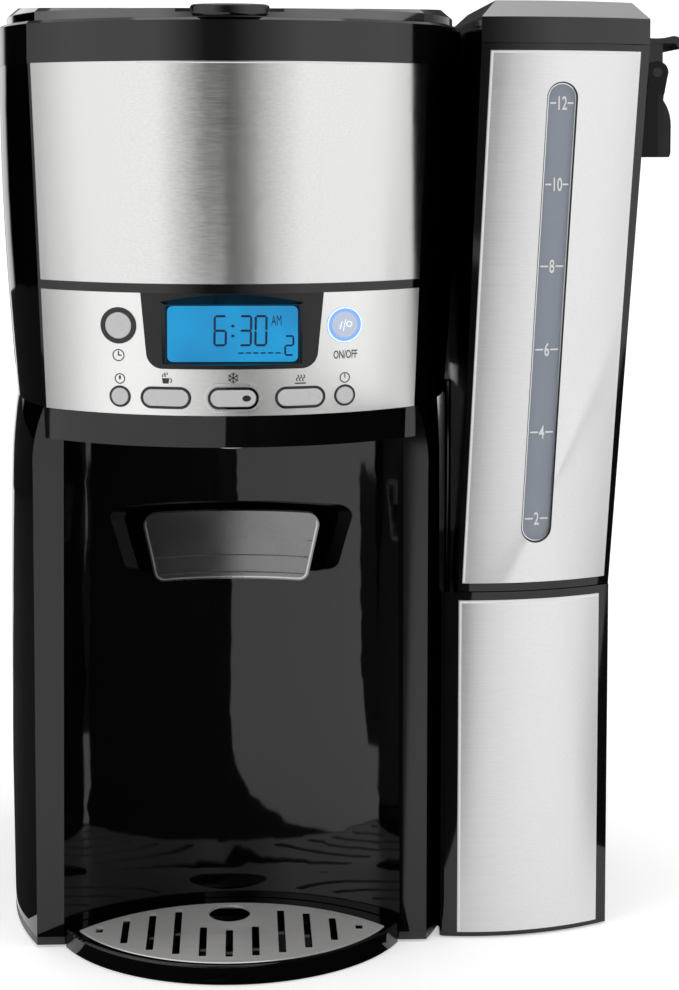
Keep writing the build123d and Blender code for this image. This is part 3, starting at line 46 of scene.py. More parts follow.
class Tree:
    """Node tree of one material, built a node at a time."""

    def __init__(self, name):
        self.mat = bpy.data.materials.new(name)
        self.mat.use_nodes = True
        self.tree = self.mat.node_tree
        self.bsdf = self.tree.nodes["Principled BSDF"]

    def node(self, kind, **values):
        made = self.tree.nodes.new(kind)
        for key, value in values.items():
            if hasattr(made, key):
                setattr(made, key, value)
            else:
                made.inputs[key.replace("_", " ")].default_value = value
        return made

    def link(self, out, into):
        self.tree.links.new(out, into)

    def set(self, **values):
        for key, value in values.items():
            self.bsdf.inputs[key.replace("_", " ")].default_value = value

    def ramp(self, fac, stops):
        ramp = self.node("ShaderNodeValToRGB")
        while len(ramp.color_ramp.elements) < len(stops):
            ramp.color_ramp.elements.new(0.5)
        for element, (place, value) in zip(ramp.color_ramp.elements, stops):
            element.position = place
            element.color = (value, value, value, 1) if isinstance(value, float) else (*value, 1)
        self.link(fac, ramp.inputs["Fac"])
        return ramp.outputs["Color"]

    def bump(self, height, strength, distance):
        bump = self.node("ShaderNodeBump", Strength=strength, Distance=distance)
        self.link(height, bump.inputs["Height"])
        self.link(bump.outputs["Normal"], self.bsdf.inputs["Normal"])

    def noise(self, scale, detail=3.0, stretch=(1, 1, 1)):
        place = self.node("ShaderNodeTexCoord")
        mapping = self.node("ShaderNodeMapping")
        mapping.inputs["Scale"].default_value = stretch
        self.link(place.outputs["Object"], mapping.inputs["Vector"])
        noise = self.node("ShaderNodeTexNoise", Scale=scale, Detail=detail)
        self.link(mapping.outputs["Vector"], noise.inputs["Vector"])
        return noise.outputs["Fac"]


def plastic(name, color, rough, coat=0.0, grain=0.0, specular=0.5):
    """Moulded plastic, polished or satin, with faint handling marks in its gloss."""
    t = Tree(name)
    t.set(Base_Color=(*color, 1), Coat_Weight=coat, Coat_Roughness=0.03, Specular_IOR_Level=specular)
    smear = t.noise(22.0, 4.0)
    low, high = rough * 0.8, rough * 1.25
    t.link(t.ramp(smear, ((0.3, low), (0.75, high))), t.bsdf.inputs["Roughness"])
    if grain:
        t.bump(t.noise(1900.0, 2.0), grain, 0.0001)
    return t.mat


def brushed(name, color, along, rough=0.3, anisotropic=0.6, turn=0.25, metallic=1.0):
    """Steel sheet brushed along one axis: fine streaks in gloss and height."""
    t = Tree(name)
    stretch = [2600.0, 2600.0, 2600.0]
    for axis in along:
        stretch[axis] = 9.0
    streaks = t.noise(1.0, 2.0, stretch)
    t.set(Metallic=metallic, Anisotropic=anisotropic, Anisotropic_Rotation=turn)
    t.link(
        t.ramp(streaks, ((0.25, tuple(0.9 * c for c in color)), (0.75, color))),
        t.bsdf.inputs["Base Color"],
    )
    t.link(t.ramp(streaks, ((0.2, rough * 0.82), (0.8, rough * 1.2))), t.bsdf.inputs["Roughness"])
    t.bump(streaks, 0.04, 0.00002)
    return t.mat


def metal(name, color, rough, metallic=1.0):
    t = Tree(name)
    t.set(Metallic=metallic, Base_Color=(*color, 1))
    t.link(t.ramp(t.noise(60.0), ((0.3, rough * 0.8), (0.8, rough * 1.3))), t.bsdf.inputs["Roughness"])
    return t.mat


def glowing(name, color, glow, strength, rough=0.25):
    t = Tree(name)
    t.set(Base_Color=(*color, 1), Roughness=rough, Emission_Color=(*glow, 1), Emission_Strength=strength)
    t.bump(t.noise(300.0), 0.02, 0.0001)
    return t.mat


def see_through(name, color, rough, mix):
    """Tinted clear plastic: part gloss, part see-through."""
    t = Tree(name)
    t.set(Base_Color=(*color, 1), Roughness=rough, Alpha=mix)
    t.bump(t.noise(80.0), 0.01, 0.0002)
    return t.mat


def backlit(name, low, high, strength):
    """Evenly lit display with a soft brighter patch."""
    t = Tree(name)
    t.set(Base_Color=(0, 0, 0, 1), Roughness=0.6, Specular_IOR_Level=0.0, Emission_Strength=strength)
    t.link(t.ramp(t.noise(38.0, 1.0), ((0.35, low), (0.65, high))), t.bsdf.inputs["Emission Color"])
    return t.mat


shell = plastic("gloss_black", (0.0012, 0.0012, 0.0013), 0.05, specular=0.46)
grip_mat = plastic("grip_black", (0.0015, 0.0015, 0.0016), 0.12, specular=0.2)
bezel_mat = plastic("bezel_black", (0.002, 0.002, 0.0025), 0.3, specular=0.35)
collar_mat = plastic("collar_black", (0.0025, 0.0025, 0.003), 0.09, specular=0.5)
lid_mat = plastic("lid_black", (0.0025, 0.0025, 0.003), 0.1, 0.8, specular=0.9)
satin = plastic("satin_black", (0.008, 0.008, 0.009), 0.42, grain=0.25)
pad_mat = metal("pad_charcoal", (0.18, 0.18, 0.18), 0.26, 0.9)
steel = brushed("fascia_steel", (0.62, 0.62, 0.61), (0,), 0.21, 0.88)
steel_side = brushed("side_steel", (0.68, 0.68, 0.68), (0,), 0.36, 0.8)
panel = brushed("panel_steel", (0.76, 0.76, 0.75), (0,), 0.42, 0.75)
grille_mat = brushed("grille_steel", (0.8, 0.79, 0.77), (0,), 0.4, 0.5, metallic=0.45)
inner_steel = brushed("inner_steel", (0.55, 0.55, 0.55), (0,), 0.35)
screw = metal("screw_steel", (0.45, 0.45, 0.45), 0.3)
aluminium = metal("cast_aluminium", (0.6, 0.6, 0.61), 0.38)
cap_mat = plastic("cap_silver", (0.62, 0.62, 0.625), 0.3, specular=0.7)
power_cap = glowing("power_cap", (0.45, 0.47, 0.52), (0.55, 0.66, 1.0), 0.28)
rubber = plastic("rubber", (0.012, 0.012, 0.012), 0.75, grain=0.5)
silicone = plastic("silicone", (0.6, 0.6, 0.57), 0.45)
white_plastic = plastic("white_plastic", (0.6, 0.6, 0.57), 0.4)
board = plastic("board_green", (0.02, 0.12, 0.05), 0.4)
smoke = plastic("smoke_plastic", (0.002, 0.0022, 0.0025), 0.07, specular=0.35)
lens_glass = see_through("lens_glass", (0.9, 0.95, 1.0), 0.08, 0.03)
window_glass = see_through("gauge_glass", (0.41, 0.455, 0.54), 0.1, 0.6)
ring_glow = glowing("ring_glow", (0.1, 0.2, 0.6), (0.18, 0.36, 1.0), 0.85)
rim_glow = glowing("rim_glow", (0.5, 0.6, 0.8), (0.7, 0.85, 1.0), 0.9)
lcd_glow = backlit("lcd_glow", (0.012, 0.25, 0.55), (0.008, 0.33, 0.68), 1.0)
digit_mat = plastic("lcd_digit", (0.0, 0.015, 0.07), 0.6, specular=0.0)
mark_white = plastic("mark_white", (0.85, 0.85, 0.85), 0.5)
# Black for print, and for the painted shade round the gauge's slot
print_and_shade_black = plastic("print_and_shade_black", (0.02, 0.02, 0.02), 0.5)
# Near-white plastic for the painted highlights along the steel panels' edges
edge_highlight_mat = plastic("painted_edge_highlight", (0.93, 0.93, 0.93), 0.3)
# Lighter metal for the painted highlight on the pad's rim
pad_highlight_mat = metal("pad_rim_highlight", (0.5, 0.5, 0.5), 0.2, 0.7)
rim_steel = metal("rim_steel", (0.7, 0.7, 0.7), 0.22)

FINISH = {
    shell: "button_guides lower_housing head_housing drip_tray dock_housing reservoir_frame"
    " reservoir_lid_pin",
    grip_mat: "reservoir_grip",
    bezel_mat: "display_bezel",
    collar_mat: "collar lid_tab reservoir_lid",
    lid_mat: "lid",
    satin: "base_plate rear_cover brew_basket coffee_tank tank_lid shower_head",
    pad_mat: "dispenser_bar",
    steel: "steel_fascia",
    steel_side: "dock_panel reservoir_panel",
    panel: "control_panel",
    grille_mat: "drip_grille",
    inner_steel: "heater_deck",
    power_cap: "power_button",
    cap_mat: "program_button hour_button minute_button brew_button iced_button warm_button",
    screw: "housing_screws lid_hinge_pins dispenser_pin dispenser_spring tact_switches",
    aluminium: "warming_plate heater_element thermostat",
    rubber: "rubber_feet cord_gland dock_seat valve_seal valve_plunger iced_lamp",
    silicone: "inlet_tube hot_water_tube",
    white_plastic: "check_valve valve_block reservoir_valve",
    board: "control_board power_board",
    smoke: "reservoir_tank",
    lens_glass: "display_window",
    window_glass: "gauge_window",
    ring_glow: "power_ring",
    lcd_glow: "lcd_module",
}
for mat, names in FINISH.items():
    for name in names.split():
        slots = NODES[name].data.materials
        slots.clear()
        slots.append(mat)

# Small rounded edges catch the light on every hard shell
for name, width in (
    ("lower_housing", 0.0006),
    ("head_housing", 0.0005),
    ("collar", 0.0005),
    ("lid", 0.0006),
    ("reservoir_lid", 0.0009),
    ("reservoir_frame", 0.0005),
    ("dock_housing", 0.0006),
    ("reservoir_tank", 0.0006),
    ("drip_tray", 0.0005),
    ("base_plate", 0.0005),
    ("reservoir_grip", 0.0006),
    ("rear_cover", 0.0004),
    ("display_bezel", 0.0004),
    ("steel_fascia", 0.00025),
    ("control_panel", 0.00025),
    ("reservoir_panel", 0.0003),
    ("dock_panel", 0.0003),
):
    node = NODES[name]
    bevel = node.modifiers.new("soft_edges", "BEVEL")
    bevel.width = width
    bevel.segments = 2
    bevel.limit_method = "ANGLE"
    bevel.angle_limit = math.radians(38)
    bevel.harden_normals = True


# Pieces made here


def own(name, mesh_or_curve, mat, body):
    piece = bpy.data.objects.new(name, mesh_or_curve)
    bpy.context.scene.collection.objects.link(piece)
    piece.data.materials.append(mat)
    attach(piece, body)
    return piece


# The head's front is an arc through its two ends and its middle, and it flares upward
HEAD_FOOT, HEAD_TALL = 211.0, 150.0
HEAD_HALF, HEAD_FLARE = 74.6, 5.9
HEAD_MIDDLE_Y, HEAD_END_Y = -123.8, -92.6
MIDDLE_FORWARD, END_BACK = 2.8, 1.6


def front_arc_y(x, z, proud):
    """Depth of the head's front at a place, in millimetres."""
    share = (z - HEAD_FOOT) / HEAD_TALL
    half = HEAD_HALF + HEAD_FLARE * share
    middle = HEAD_MIDDLE_Y - MIDDLE_FORWARD * share
    rise = HEAD_END_Y + END_BACK * share - middle
    radius = (half**2 + rise**2) / (2 * rise)
    centre = middle + radius
    return centre - math.sqrt((radius + proud) ** 2 - x**2)


# The side unit's front is a shaft about an axis that, above the dock, leans forward and to the right
UNIT_X, UNIT_Y, UNIT_R = 102.0, 19.5, 107.0
LEAN_X, LEAN_Y = 10, 14
RESERVOIR_FOOT, RESERVOIR_TALL = 145.9, 223.1
SHEET = 0.3


def dock_depth(x, z):
    return UNIT_Y - math.sqrt((UNIT_R + SHEET) ** 2 - (x - UNIT_X) ** 2)


def panel_depth(x, z):
    return front_arc_y(x, z, SHEET)


def reservoir_y(x, z, proud):
    """Depth of the reservoir's front at a place, in millimetres."""
    share = (z - RESERVOIR_FOOT) / RESERVOIR_TALL
    cx, cy = UNIT_X + LEAN_X * share, UNIT_Y - LEAN_Y * share
    return cy - math.sqrt((UNIT_R + proud) ** 2 - (x - cx) ** 2)


# Bars of each digit that the display shows
SEGMENTS = {"0": "abcdef", "2": "abged", "3": "abgcd", "6": "afgedc"}


def bar_outline(kind, w, h, t):
    """Corners of one bar of a seven-bar digit in a box w by h, with bars t thick and mitred ends."""
    g = 0.06 * t
    half = t / 2
    spots = {
        "a": ((half + g, h - half), (w - half - g, h - half)),
        "d": ((half + g, half), (w - half - g, half)),
        "g": ((half + g, h / 2), (w - half - g, h / 2)),
        "f": ((half, h / 2 + g), (half, h - half - g)),
        "b": ((w - half, h / 2 + g), (w - half, h - half - g)),
        "e": ((half, half + g), (half, h / 2 - g)),
        "c": ((w - half, half + g), (w - half, h / 2 - g)),
    }
    (x0, y0), (x1, y1) = spots[kind]
    if y0 == y1:
        return [
            (x0, y0), (x0 + half, y0 + half), (x1 - half, y0 + half),
            (x1, y0), (x1 - half, y0 - half), (x0 + half, y0 - half),
        ]
    return [
        (x0, y0), (x0 + half, y0 + half), (x0 + half, y1 - half),
        (x0, y1), (x0 - half, y1 - half), (x0 - half, y0 + half),
    ]


def slab(shapes, name, mat, body, depth_at, thick):
    """Thin raised shapes in the front view, laid on a surface given by depth_at(x, z), all in millimetres."""
    bm = bmesh.new()
    for shape in shapes:
        back = [bm.verts.new(at(x, depth_at(x, z), z)) for x, z in shape]
        front = [bm.verts.new(at(x, depth_at(x, z) - thick, z)) for x, z in shape]
        bm.faces.new(front)
        bm.faces.new(back[::-1])
        for i in range(len(shape)):
            j = (i + 1) % len(shape)
            bm.faces.new((front[i], back[i], back[j], front[j]))
    bmesh.ops.recalc_face_normals(bm, faces=bm.faces)
    mesh = bpy.data.meshes.new(name)
    bm.to_mesh(mesh)
    bm.free()
    return own(name, mesh, mat, body)


def digits(text, x, z, w, h, t, gap, slant=0.0):
    """Outlines of a row of seven-bar digits from the lower left corner."""
    shapes = []
    for mark in text:
        for bar in SEGMENTS[mark]:
            shapes.append([(x + u + slant * v, z + v) for u, v in bar_outline(bar, w, h, t)])
        x += w + gap
    return shapes


def round_bar(x0, z0, x1, z1, t, steps=6):
    """Outline of a straight bar with round ends."""
    run = Vector((x1 - x0, z1 - z0))
    turn = math.atan2(run.y, run.x)
    points = []
    for cx, cz, start in ((x1, z1, turn - math.pi / 2), (x0, z0, turn + math.pi / 2)):
        for i in range(steps + 1):
            a = start + math.pi * i / steps
            points.append((cx + t / 2 * math.cos(a), cz + t / 2 * math.sin(a)))
    return points


def arc_bar(cx, cz, r, a0, a1, t, steps=14):
    """Outline of a bent bar along an arc, angles in degrees."""
    outer, inner = [], []
    for i in range(steps + 1):
        a = math.radians(a0 + (a1 - a0) * i / steps)
        outer.append((cx + (r + t / 2) * math.cos(a), cz + (r + t / 2) * math.sin(a)))
        inner.append((cx + (r - t / 2) * math.cos(a), cz + (r - t / 2) * math.sin(a)))
    return [[outer[i], outer[i + 1], inner[i + 1], inner[i]] for i in range(steps)]


def lettering(marks, name, mat, body, depth_at, squeeze, thick=0.06, weight=0.0):
    """Flat marks set in type and laid on a surface: (text, middle x, middle z, height), in millimetres."""
    bm = bmesh.new()
    for words, x, z, height in marks:
        curve = bpy.data.curves.new("type", "FONT")
        curve.body = words
        curve.align_x = "CENTER"
        curve.align_y = "CENTER"
        curve.size = 1.38 * height
        curve.offset = weight * height
        curve.resolution_u = 3
        curve.fill_mode = "FRONT"
        holder = bpy.data.objects.new("type", curve)
        bpy.context.scene.collection.objects.link(holder)
        bpy.context.view_layer.update()
        flat = bpy.data.meshes.new_from_object(holder)
        middle = (min(v.co.y for v in flat.vertices) + max(v.co.y for v in flat.vertices)) / 2
        made = []
        for v in flat.vertices:
            px, pz = x + v.co.x * squeeze, z + v.co.y - middle
            made.append(bm.verts.new(at(px, depth_at(px, pz) - thick, pz)))
        for face in flat.polygons:
            bm.faces.new([made[i] for i in face.vertices])
        bpy.data.objects.remove(holder)
    mesh = bpy.data.meshes.new(name)
    bm.to_mesh(mesh)
    bm.free()
    return own(name, mesh, mat, body)


# Display: time in seven-bar digits, and a dark frame that rounds the window's corners
LCD_X, LCD_Z, LCD_W, LCD_H = 0.8, 255.2, 51.0, 21.9
FACE_Y, DIGIT_Y, MASK_Y = -118.92, -118.96, -119.82
DIGIT_LEAN = 0.02
MARK_THICK = 0.06
time_bars = digits("6", -6.8, 250.2, 5.3, 12.3, 0.9, 0.9, DIGIT_LEAN)
time_bars += digits("30", 3.2, 250.2, 5.1, 12.3, 0.9, 0.9, DIGIT_LEAN)
time_bars += digits("2", 20.9, 246.4, 3.9, 8.2, 0.75, 0.8, DIGIT_LEAN)
for dot in (254.3, 258.2):
    time_bars.append(round_bar(0.75, dot, 1.05, dot, 1.1, 3))
for mark in range(6):
    time_bars.append(round_bar(3.2 + 2.9 * mark, 247.6, 4.9 + 2.9 * mark, 247.6, 0.55, 3))
slab(time_bars, "time_digits", digit_mat, "machine", lambda x, z: DIGIT_Y, MARK_THICK)


def rounded_outline(cx, cz, w, h, r, steps=6):
    points = []
    for sx, sz, start in ((1, 1, 0), (-1, 1, 90), (-1, -1, 180), (1, -1, 270)):
        for i in range(steps + 1):
            a = math.radians(start + 90 * i / steps)
            points.append((cx + sx * (w / 2 - r) + r * math.cos(a), cz + sz * (h / 2 - r) + r * math.sin(a)))
    return points


def frame_between(outer, inner):
    """Four-sided strips between two outlines with the same number of points."""
    n = len(outer)
    return [[outer[i], outer[(i + 1) % n], inner[(i + 1) % n], inner[i]] for i in range(n)]


slab(
    [rounded_outline(LCD_X, LCD_Z, LCD_W + 1.4, LCD_H + 0.6, 0.5)],
    "lcd_face", lcd_glow, "machine", lambda x, z: FACE_Y, 0.03,
)
mask = frame_between(
    rounded_outline(LCD_X, LCD_Z, LCD_W + 1.5, LCD_H + 0.7, 0.1),
    rounded_outline(LCD_X, LCD_Z, LCD_W, LCD_H, 2.2),
)
slab(mask, "display_frame", bezel_mat, "machine", lambda x, z: MASK_Y, 0.12)

# Scale of the gauge: even numbers with a dash each side
GAUGE = (
    ("12", 345.5, 132.6), ("10", 312.9, 131.2), ("8", 279.8, 129.7),
    ("6", 245.8, 128.2), ("4", 211.7, 126.7), ("2", 175.7, 125.1),
)


def gauge_depth(x, z):
    return reservoir_y(x, z, -1.4)


lettering(
    [(number, x, z, 5.5) for number, z, x in GAUGE],
    "gauge_numbers", mark_white, "reservoir", gauge_depth, squeeze=0.6, weight=0.022,
)
dashes = []
for number, height, middle in GAUGE:
    reach = 2.6 if len(number) > 1 else 1.7
    for hand in (-1, 1):
        ends = sorted((middle + hand * reach, middle + hand * 4.6))
        dashes.append(round_bar(ends[0], height, ends[1], height, 0.7, 3))
low, high = Vector((124.9, 172.2)), Vector((132.7, 347.6))
lie = math.atan2((high - low).y, (high - low).x)


def gauge_outline(width, steps=12):
    """Outline of the gauge's slot, round at both ends."""
    points = []
    for centre, start in ((high, lie - math.pi / 2), (low, lie + math.pi / 2)):
        for i in range(steps + 1):
            a = start + math.pi * i / steps
            points.append((centre.x + width / 2 * math.cos(a), centre.y + width / 2 * math.sin(a)))
    return points


def refined(points, guide, step=4.0):
    """The closed outline with each run cut into as many parts as the same run of the guide outline needs."""
    made = []
    for i, (x0, z0) in enumerate(points):
        j = (i + 1) % len(points)
        x1, z1 = points[j]
        parts = max(1, int(math.dist(guide[i], guide[j]) / step))
        made += [(x0 + (x1 - x0) * k / parts, z0 + (z1 - z0) * k / parts) for k in range(parts)]
    return made


def ring_pairs(wide, narrow):
    outer = gauge_outline(wide)
    return frame_between(refined(outer, outer), refined(gauge_outline(narrow), outer))


# Painted shade: a black strip round the gauge's slot stands for the shade in its recessed edge
slab(ring_pairs(12.7, 12.1), "gauge_gap_shade", print_and_shade_black, "reservoir", gauge_depth, 0.1)
slab(ring_pairs(11.6, 11.0), "gauge_rim", rim_steel, "reservoir", gauge_depth, 0.12)
slab(dashes, "gauge_dashes", mark_white, "reservoir", gauge_depth, MARK_THICK)


def edge_highlight_strip(name, ends, width, body, depth_at, parts=24):
    """Painted highlight along the edge of a steel panel: a near-white strip between two spots; the line lies
    to the left of its run.
    """
    (x0, z0), (x1, z1) = ends
    run = Vector((x1 - x0, z1 - z0))
    aside = Vector((-run.y, run.x)).normalized() * width
    strips = []
    for i in range(parts):
        a, b = Vector((x0, z0)) + run * (i / parts), Vector((x0, z0)) + run * ((i + 1) / parts)
        strips.append([tuple(a), tuple(b), tuple(b + aside), tuple(a + aside)])
    slab(strips, name, edge_highlight_mat, body, depth_at, 0.05)


def reservoir_depth(x, z):
    return reservoir_y(x, z, SHEET)


# Painted highlights: near-white strips along the left and top edges of the dock and reservoir panels and
# along the fascia's top edge
edge_highlight_strip("dock_edge_left_highlight", ((94.3, 3.2), (94.3, 141.6)), 0.8, "machine", dock_depth)
edge_highlight_strip("dock_edge_top_highlight", ((93.6, 141.0), (152.6, 141.0)), 0.8, "machine", dock_depth)
edge_highlight_strip(
    "reservoir_edge_left_highlight", ((95.6, 149.8), (104.5, 365.8)), 0.8, "reservoir", reservoir_depth,
)
edge_highlight_strip(
    "reservoir_edge_top_highlight", ((103.9, 365.3), (165.4, 365.3)), 0.6, "reservoir", reservoir_depth,
)
edge_highlight_strip("fascia_edge_top_highlight", ((-36, 360.1), (58, 360.1)), 0.45, "machine", panel_depth)


PAD_R, PAD_BACK = 80.0, 150.0
# Side of the pad: its upper end, the step of each of its parts and half its thickness
SIDE_X, SIDE_Z, STEP_X, STEP_Z, SIDE_HALF = 35.1, 171.76, 0.68, 3.25, 0.33
FOOT_HALF, FOOT_LOW, FOOT_HIGH, FOOT_PARTS = 27.55, 149.1, 149.7, 12


def pad_depth(x, z):
    return math.sqrt(PAD_R**2 - x**2) - PAD_BACK


def side_part(k):
    """One part of the pad's right side, from the top."""
    x0, z0 = SIDE_X - STEP_X * k, SIDE_Z - STEP_Z * k
    x1, z1 = SIDE_X - STEP_X * (k + 1), SIDE_Z - STEP_Z * (k + 1)
    return [(x0 + SIDE_HALF, z0), (x1 + SIDE_HALF, z1), (x1 - SIDE_HALF, z1), (x0 - SIDE_HALF, z0)]


# Painted highlight on the rim of the dispenser's pad: a lighter metal strip down its sides and along its foot
right_side = [side_part(k) for k in range(6)]
right_side += arc_bar(FOOT_HALF, 153.0, 3.6, -90, -11.9, 0.66, 8)
right_side += arc_bar(31.65, 172.5, 3.6, -11.9, 25, 0.5, 5)
pad_rim_highlight = [[(hand * x, z) for x, z in shape] for hand in (-1, 1) for shape in right_side]
for k in range(FOOT_PARTS):
    x0 = -FOOT_HALF + 2 * FOOT_HALF * k / FOOT_PARTS
    x1 = -FOOT_HALF + 2 * FOOT_HALF * (k + 1) / FOOT_PARTS
    pad_rim_highlight.append([(x0, FOOT_LOW), (x1, FOOT_LOW), (x1, FOOT_HIGH), (x0, FOOT_HIGH)])
slab(pad_rim_highlight, "pad_rim_highlight", pad_highlight_mat, "dispenser", pad_depth, 0.05)


# Marks beside the controls: plain symbols where the functions are named


def symbol_clock(x, z, r, hands):
    made = arc_bar(x, z, r, 0, 360, 0.42, 20)
    for turn, reach, t in hands:
        a = math.radians(90 - turn)
        made.append(round_bar(x, z, x + reach * math.cos(a), z + reach * math.sin(a), t, 3))
    return made


def symbol_cup(x, z):
    made = [[(x - 1.5, z + 0.5), (x - 1.1, z - 1.6), (x + 1.1, z - 1.6), (x + 1.5, z + 0.5)]]
    made += arc_bar(x + 1.6, z - 0.4, 0.75, -80, 80, 0.4, 8)
    for step in (-0.8, 0.2):
        made += arc_bar(x + step, z + 1.5, 0.5, 100, 260, 0.36, 6)
        made += arc_bar(x + step, z + 2.3, 0.5, -80, 60, 0.36, 6)
    return made


def symbol_flake(x, z, r):
    made = []
    for k in range(6):
        a = math.radians(90 + 60 * k)
        made.append(round_bar(x, z, x + r * math.cos(a), z + r * math.sin(a), 0.4, 3))
        for side in (-1, 1):
            b = a + side * math.radians(50)
            px, pz = x + 0.55 * r * math.cos(a), z + 0.55 * r * math.sin(a)
            made.append(round_bar(px, pz, px + 0.4 * r * math.cos(b), pz + 0.4 * r * math.sin(b), 0.34, 3))
    return made


def symbol_heat(x, z):
    made = [round_bar(x - 2.0, z - 1.7, x + 2.0, z - 1.7, 0.5, 3)]
    for step in (-1.2, 0.0, 1.2):
        made += arc_bar(x + step + 0.25, z - 0.2, 0.6, 100, 260, 0.4, 6)
        made += arc_bar(x + step - 0.05, z + 0.9, 0.6, -80, 80, 0.4, 6)
    return made


symbols = symbol_clock(-43.9, 246.6, 2.2, ((0, 1.5, 0.5), (90, 1.1, 0.5)))
symbols += symbol_clock(-43.4, 237.4, 1.9, ((0, 0.9, 0.8),))
symbols += symbol_clock(44.9, 237.4, 1.9, ((0, 1.4, 0.4),))
symbols += symbol_cup(-25.3, 237.6) + symbol_flake(1.0, 238.4, 2.1) + symbol_heat(27.2, 237.6)
slab(symbols, "control_symbols", print_and_shade_black, "machine", panel_depth, 0.05)
lettering(
    [("ON/OFF", 45.1, 246.6, 3.3)], "switch_marks", print_and_shade_black, "machine", panel_depth,
    thick=0.05, squeeze=0.58, weight=0.02,
)
lettering(
    [("AM", 18.0, 260.4, 4.2)], "morning_mark", digit_mat, "machine", lambda x, z: DIGIT_Y,
    squeeze=0.5,
)
CAP_PROUD, RING_PROUD = 1.1, 0.45
cap_marks = [round_bar(42.9, 256.9, 43.7, 259.5, 0.4, 3), round_bar(44.2, 256.0, 45.2, 260.4, 0.3, 3)]
cap_marks += arc_bar(46.6, 258.6, 1.0, 0, 360, 0.36, 14)
slab(
    cap_marks, "power_marks", rim_glow, "power_button",
    lambda x, z: front_arc_y(x, z, CAP_PROUD), 0.04,
)


BEAD_STEPS = 8


def slot_bead(x, z, w, h, t):
    """Closed strip along a slot outline w by h, t wide."""
    shapes = []
    run = (w - h) / 2
    for cx, start in ((x + run, -90), (x - run, 90)):
        shapes += arc_bar(cx, z, h / 2, start, start + 180, t, 10)
    for side in (-1, 1):
        middle = z + side * h / 2
        low, high = middle - t / 2, middle + t / 2
        for i in range(BEAD_STEPS):
            x0, x1 = x - run + 2 * run * i / BEAD_STEPS, x - run + 2 * run * (i + 1) / BEAD_STEPS
            shapes.append([(x0, low), (x1, low), (x1, high), (x0, high)])
    return shapes


slab(
    slot_bead(1.0, 230.4, 22.0, 10.8, 0.8), "iced_rim", rim_steel, "machine",
    panel_depth, 0.35,
)
slab(
    arc_bar(44.9, 258.3, 6.75, 0, 360, 0.5, 40), "power_rim", rim_glow, "machine",
    lambda x, z: front_arc_y(x, z, RING_PROUD), 0.05,
)


# Light, floor and camera


def light(name, place, aim, size, power, size_y=None):
    lamp = bpy.data.lights.new(name, "AREA")
    lamp.energy = power
    lamp.size = size
    if size_y:
        lamp.shape = "RECTANGLE"
        lamp.size_y = size_y
    holder = bpy.data.objects.new(name, lamp)
    holder.location = place
    holder.rotation_euler = (Vector(aim) - Vector(place)).to_track_quat("-Z", "Y").to_euler()
    bpy.context.scene.collection.objects.link(holder)
    return holder


for side_light in (
    light("key_left", (-1.5, -1.5, 1.0), (0, 0, 0.2), 0.9, 7, size_y=1.5),
    light("fill_right", (1.9, -1.2, 0.9), (0, 0, 0.2), 0.9, 6, size_y=1.5),
):
    side_light.visible_glossy = False
light("top", (0.0, 0.1, 1.9), (0, 0, 0.1), 1.3, 9)


def seen_directly(tree, low, high):
    """Strength that is high where a camera, glossy or transmission ray looks, and low for diffuse light."""
    path = tree.nodes.new("ShaderNodeLightPath")
    last = path.outputs["Is Camera Ray"]
    for other in ("Is Glossy Ray", "Is Transmission Ray"):
        total = tree.nodes.new("ShaderNodeMath")
        total.use_clamp = True
        tree.links.new(last, total.inputs[0])
        tree.links.new(path.outputs[other], total.inputs[1])
        last = total.outputs[0]
    level = tree.nodes.new("ShaderNodeMapRange")
    level.inputs["To Min"].default_value = low
    level.inputs["To Max"].default_value = high
    tree.links.new(last, level.inputs["Value"])
    return level.outputs[0]


world = bpy.data.worlds.new("studio")
world.use_nodes = True
sky = world.node_tree.nodes["Background"]
sky.inputs["Color"].default_value = (1, 1, 1, 1)
world.node_tree.links.new(seen_directly(world.node_tree, 0.55, 1.0), sky.inputs["Strength"])
bpy.context.scene.world = world

# Studio screens round the machine, seen only in its gloss: brightness by direction in degrees, 0 in front.
# A wide soft box stands at each side, with an unlit gap between them where the camera is.
SIDE, BOX, GAP = 0.4, 1.4, 0.15
FRONT_LEVELS = ((-110, SIDE), (-70, BOX), (-30, BOX), (-10, GAP), (0, GAP), (30, BOX), (70, BOX), (110, SIDE))


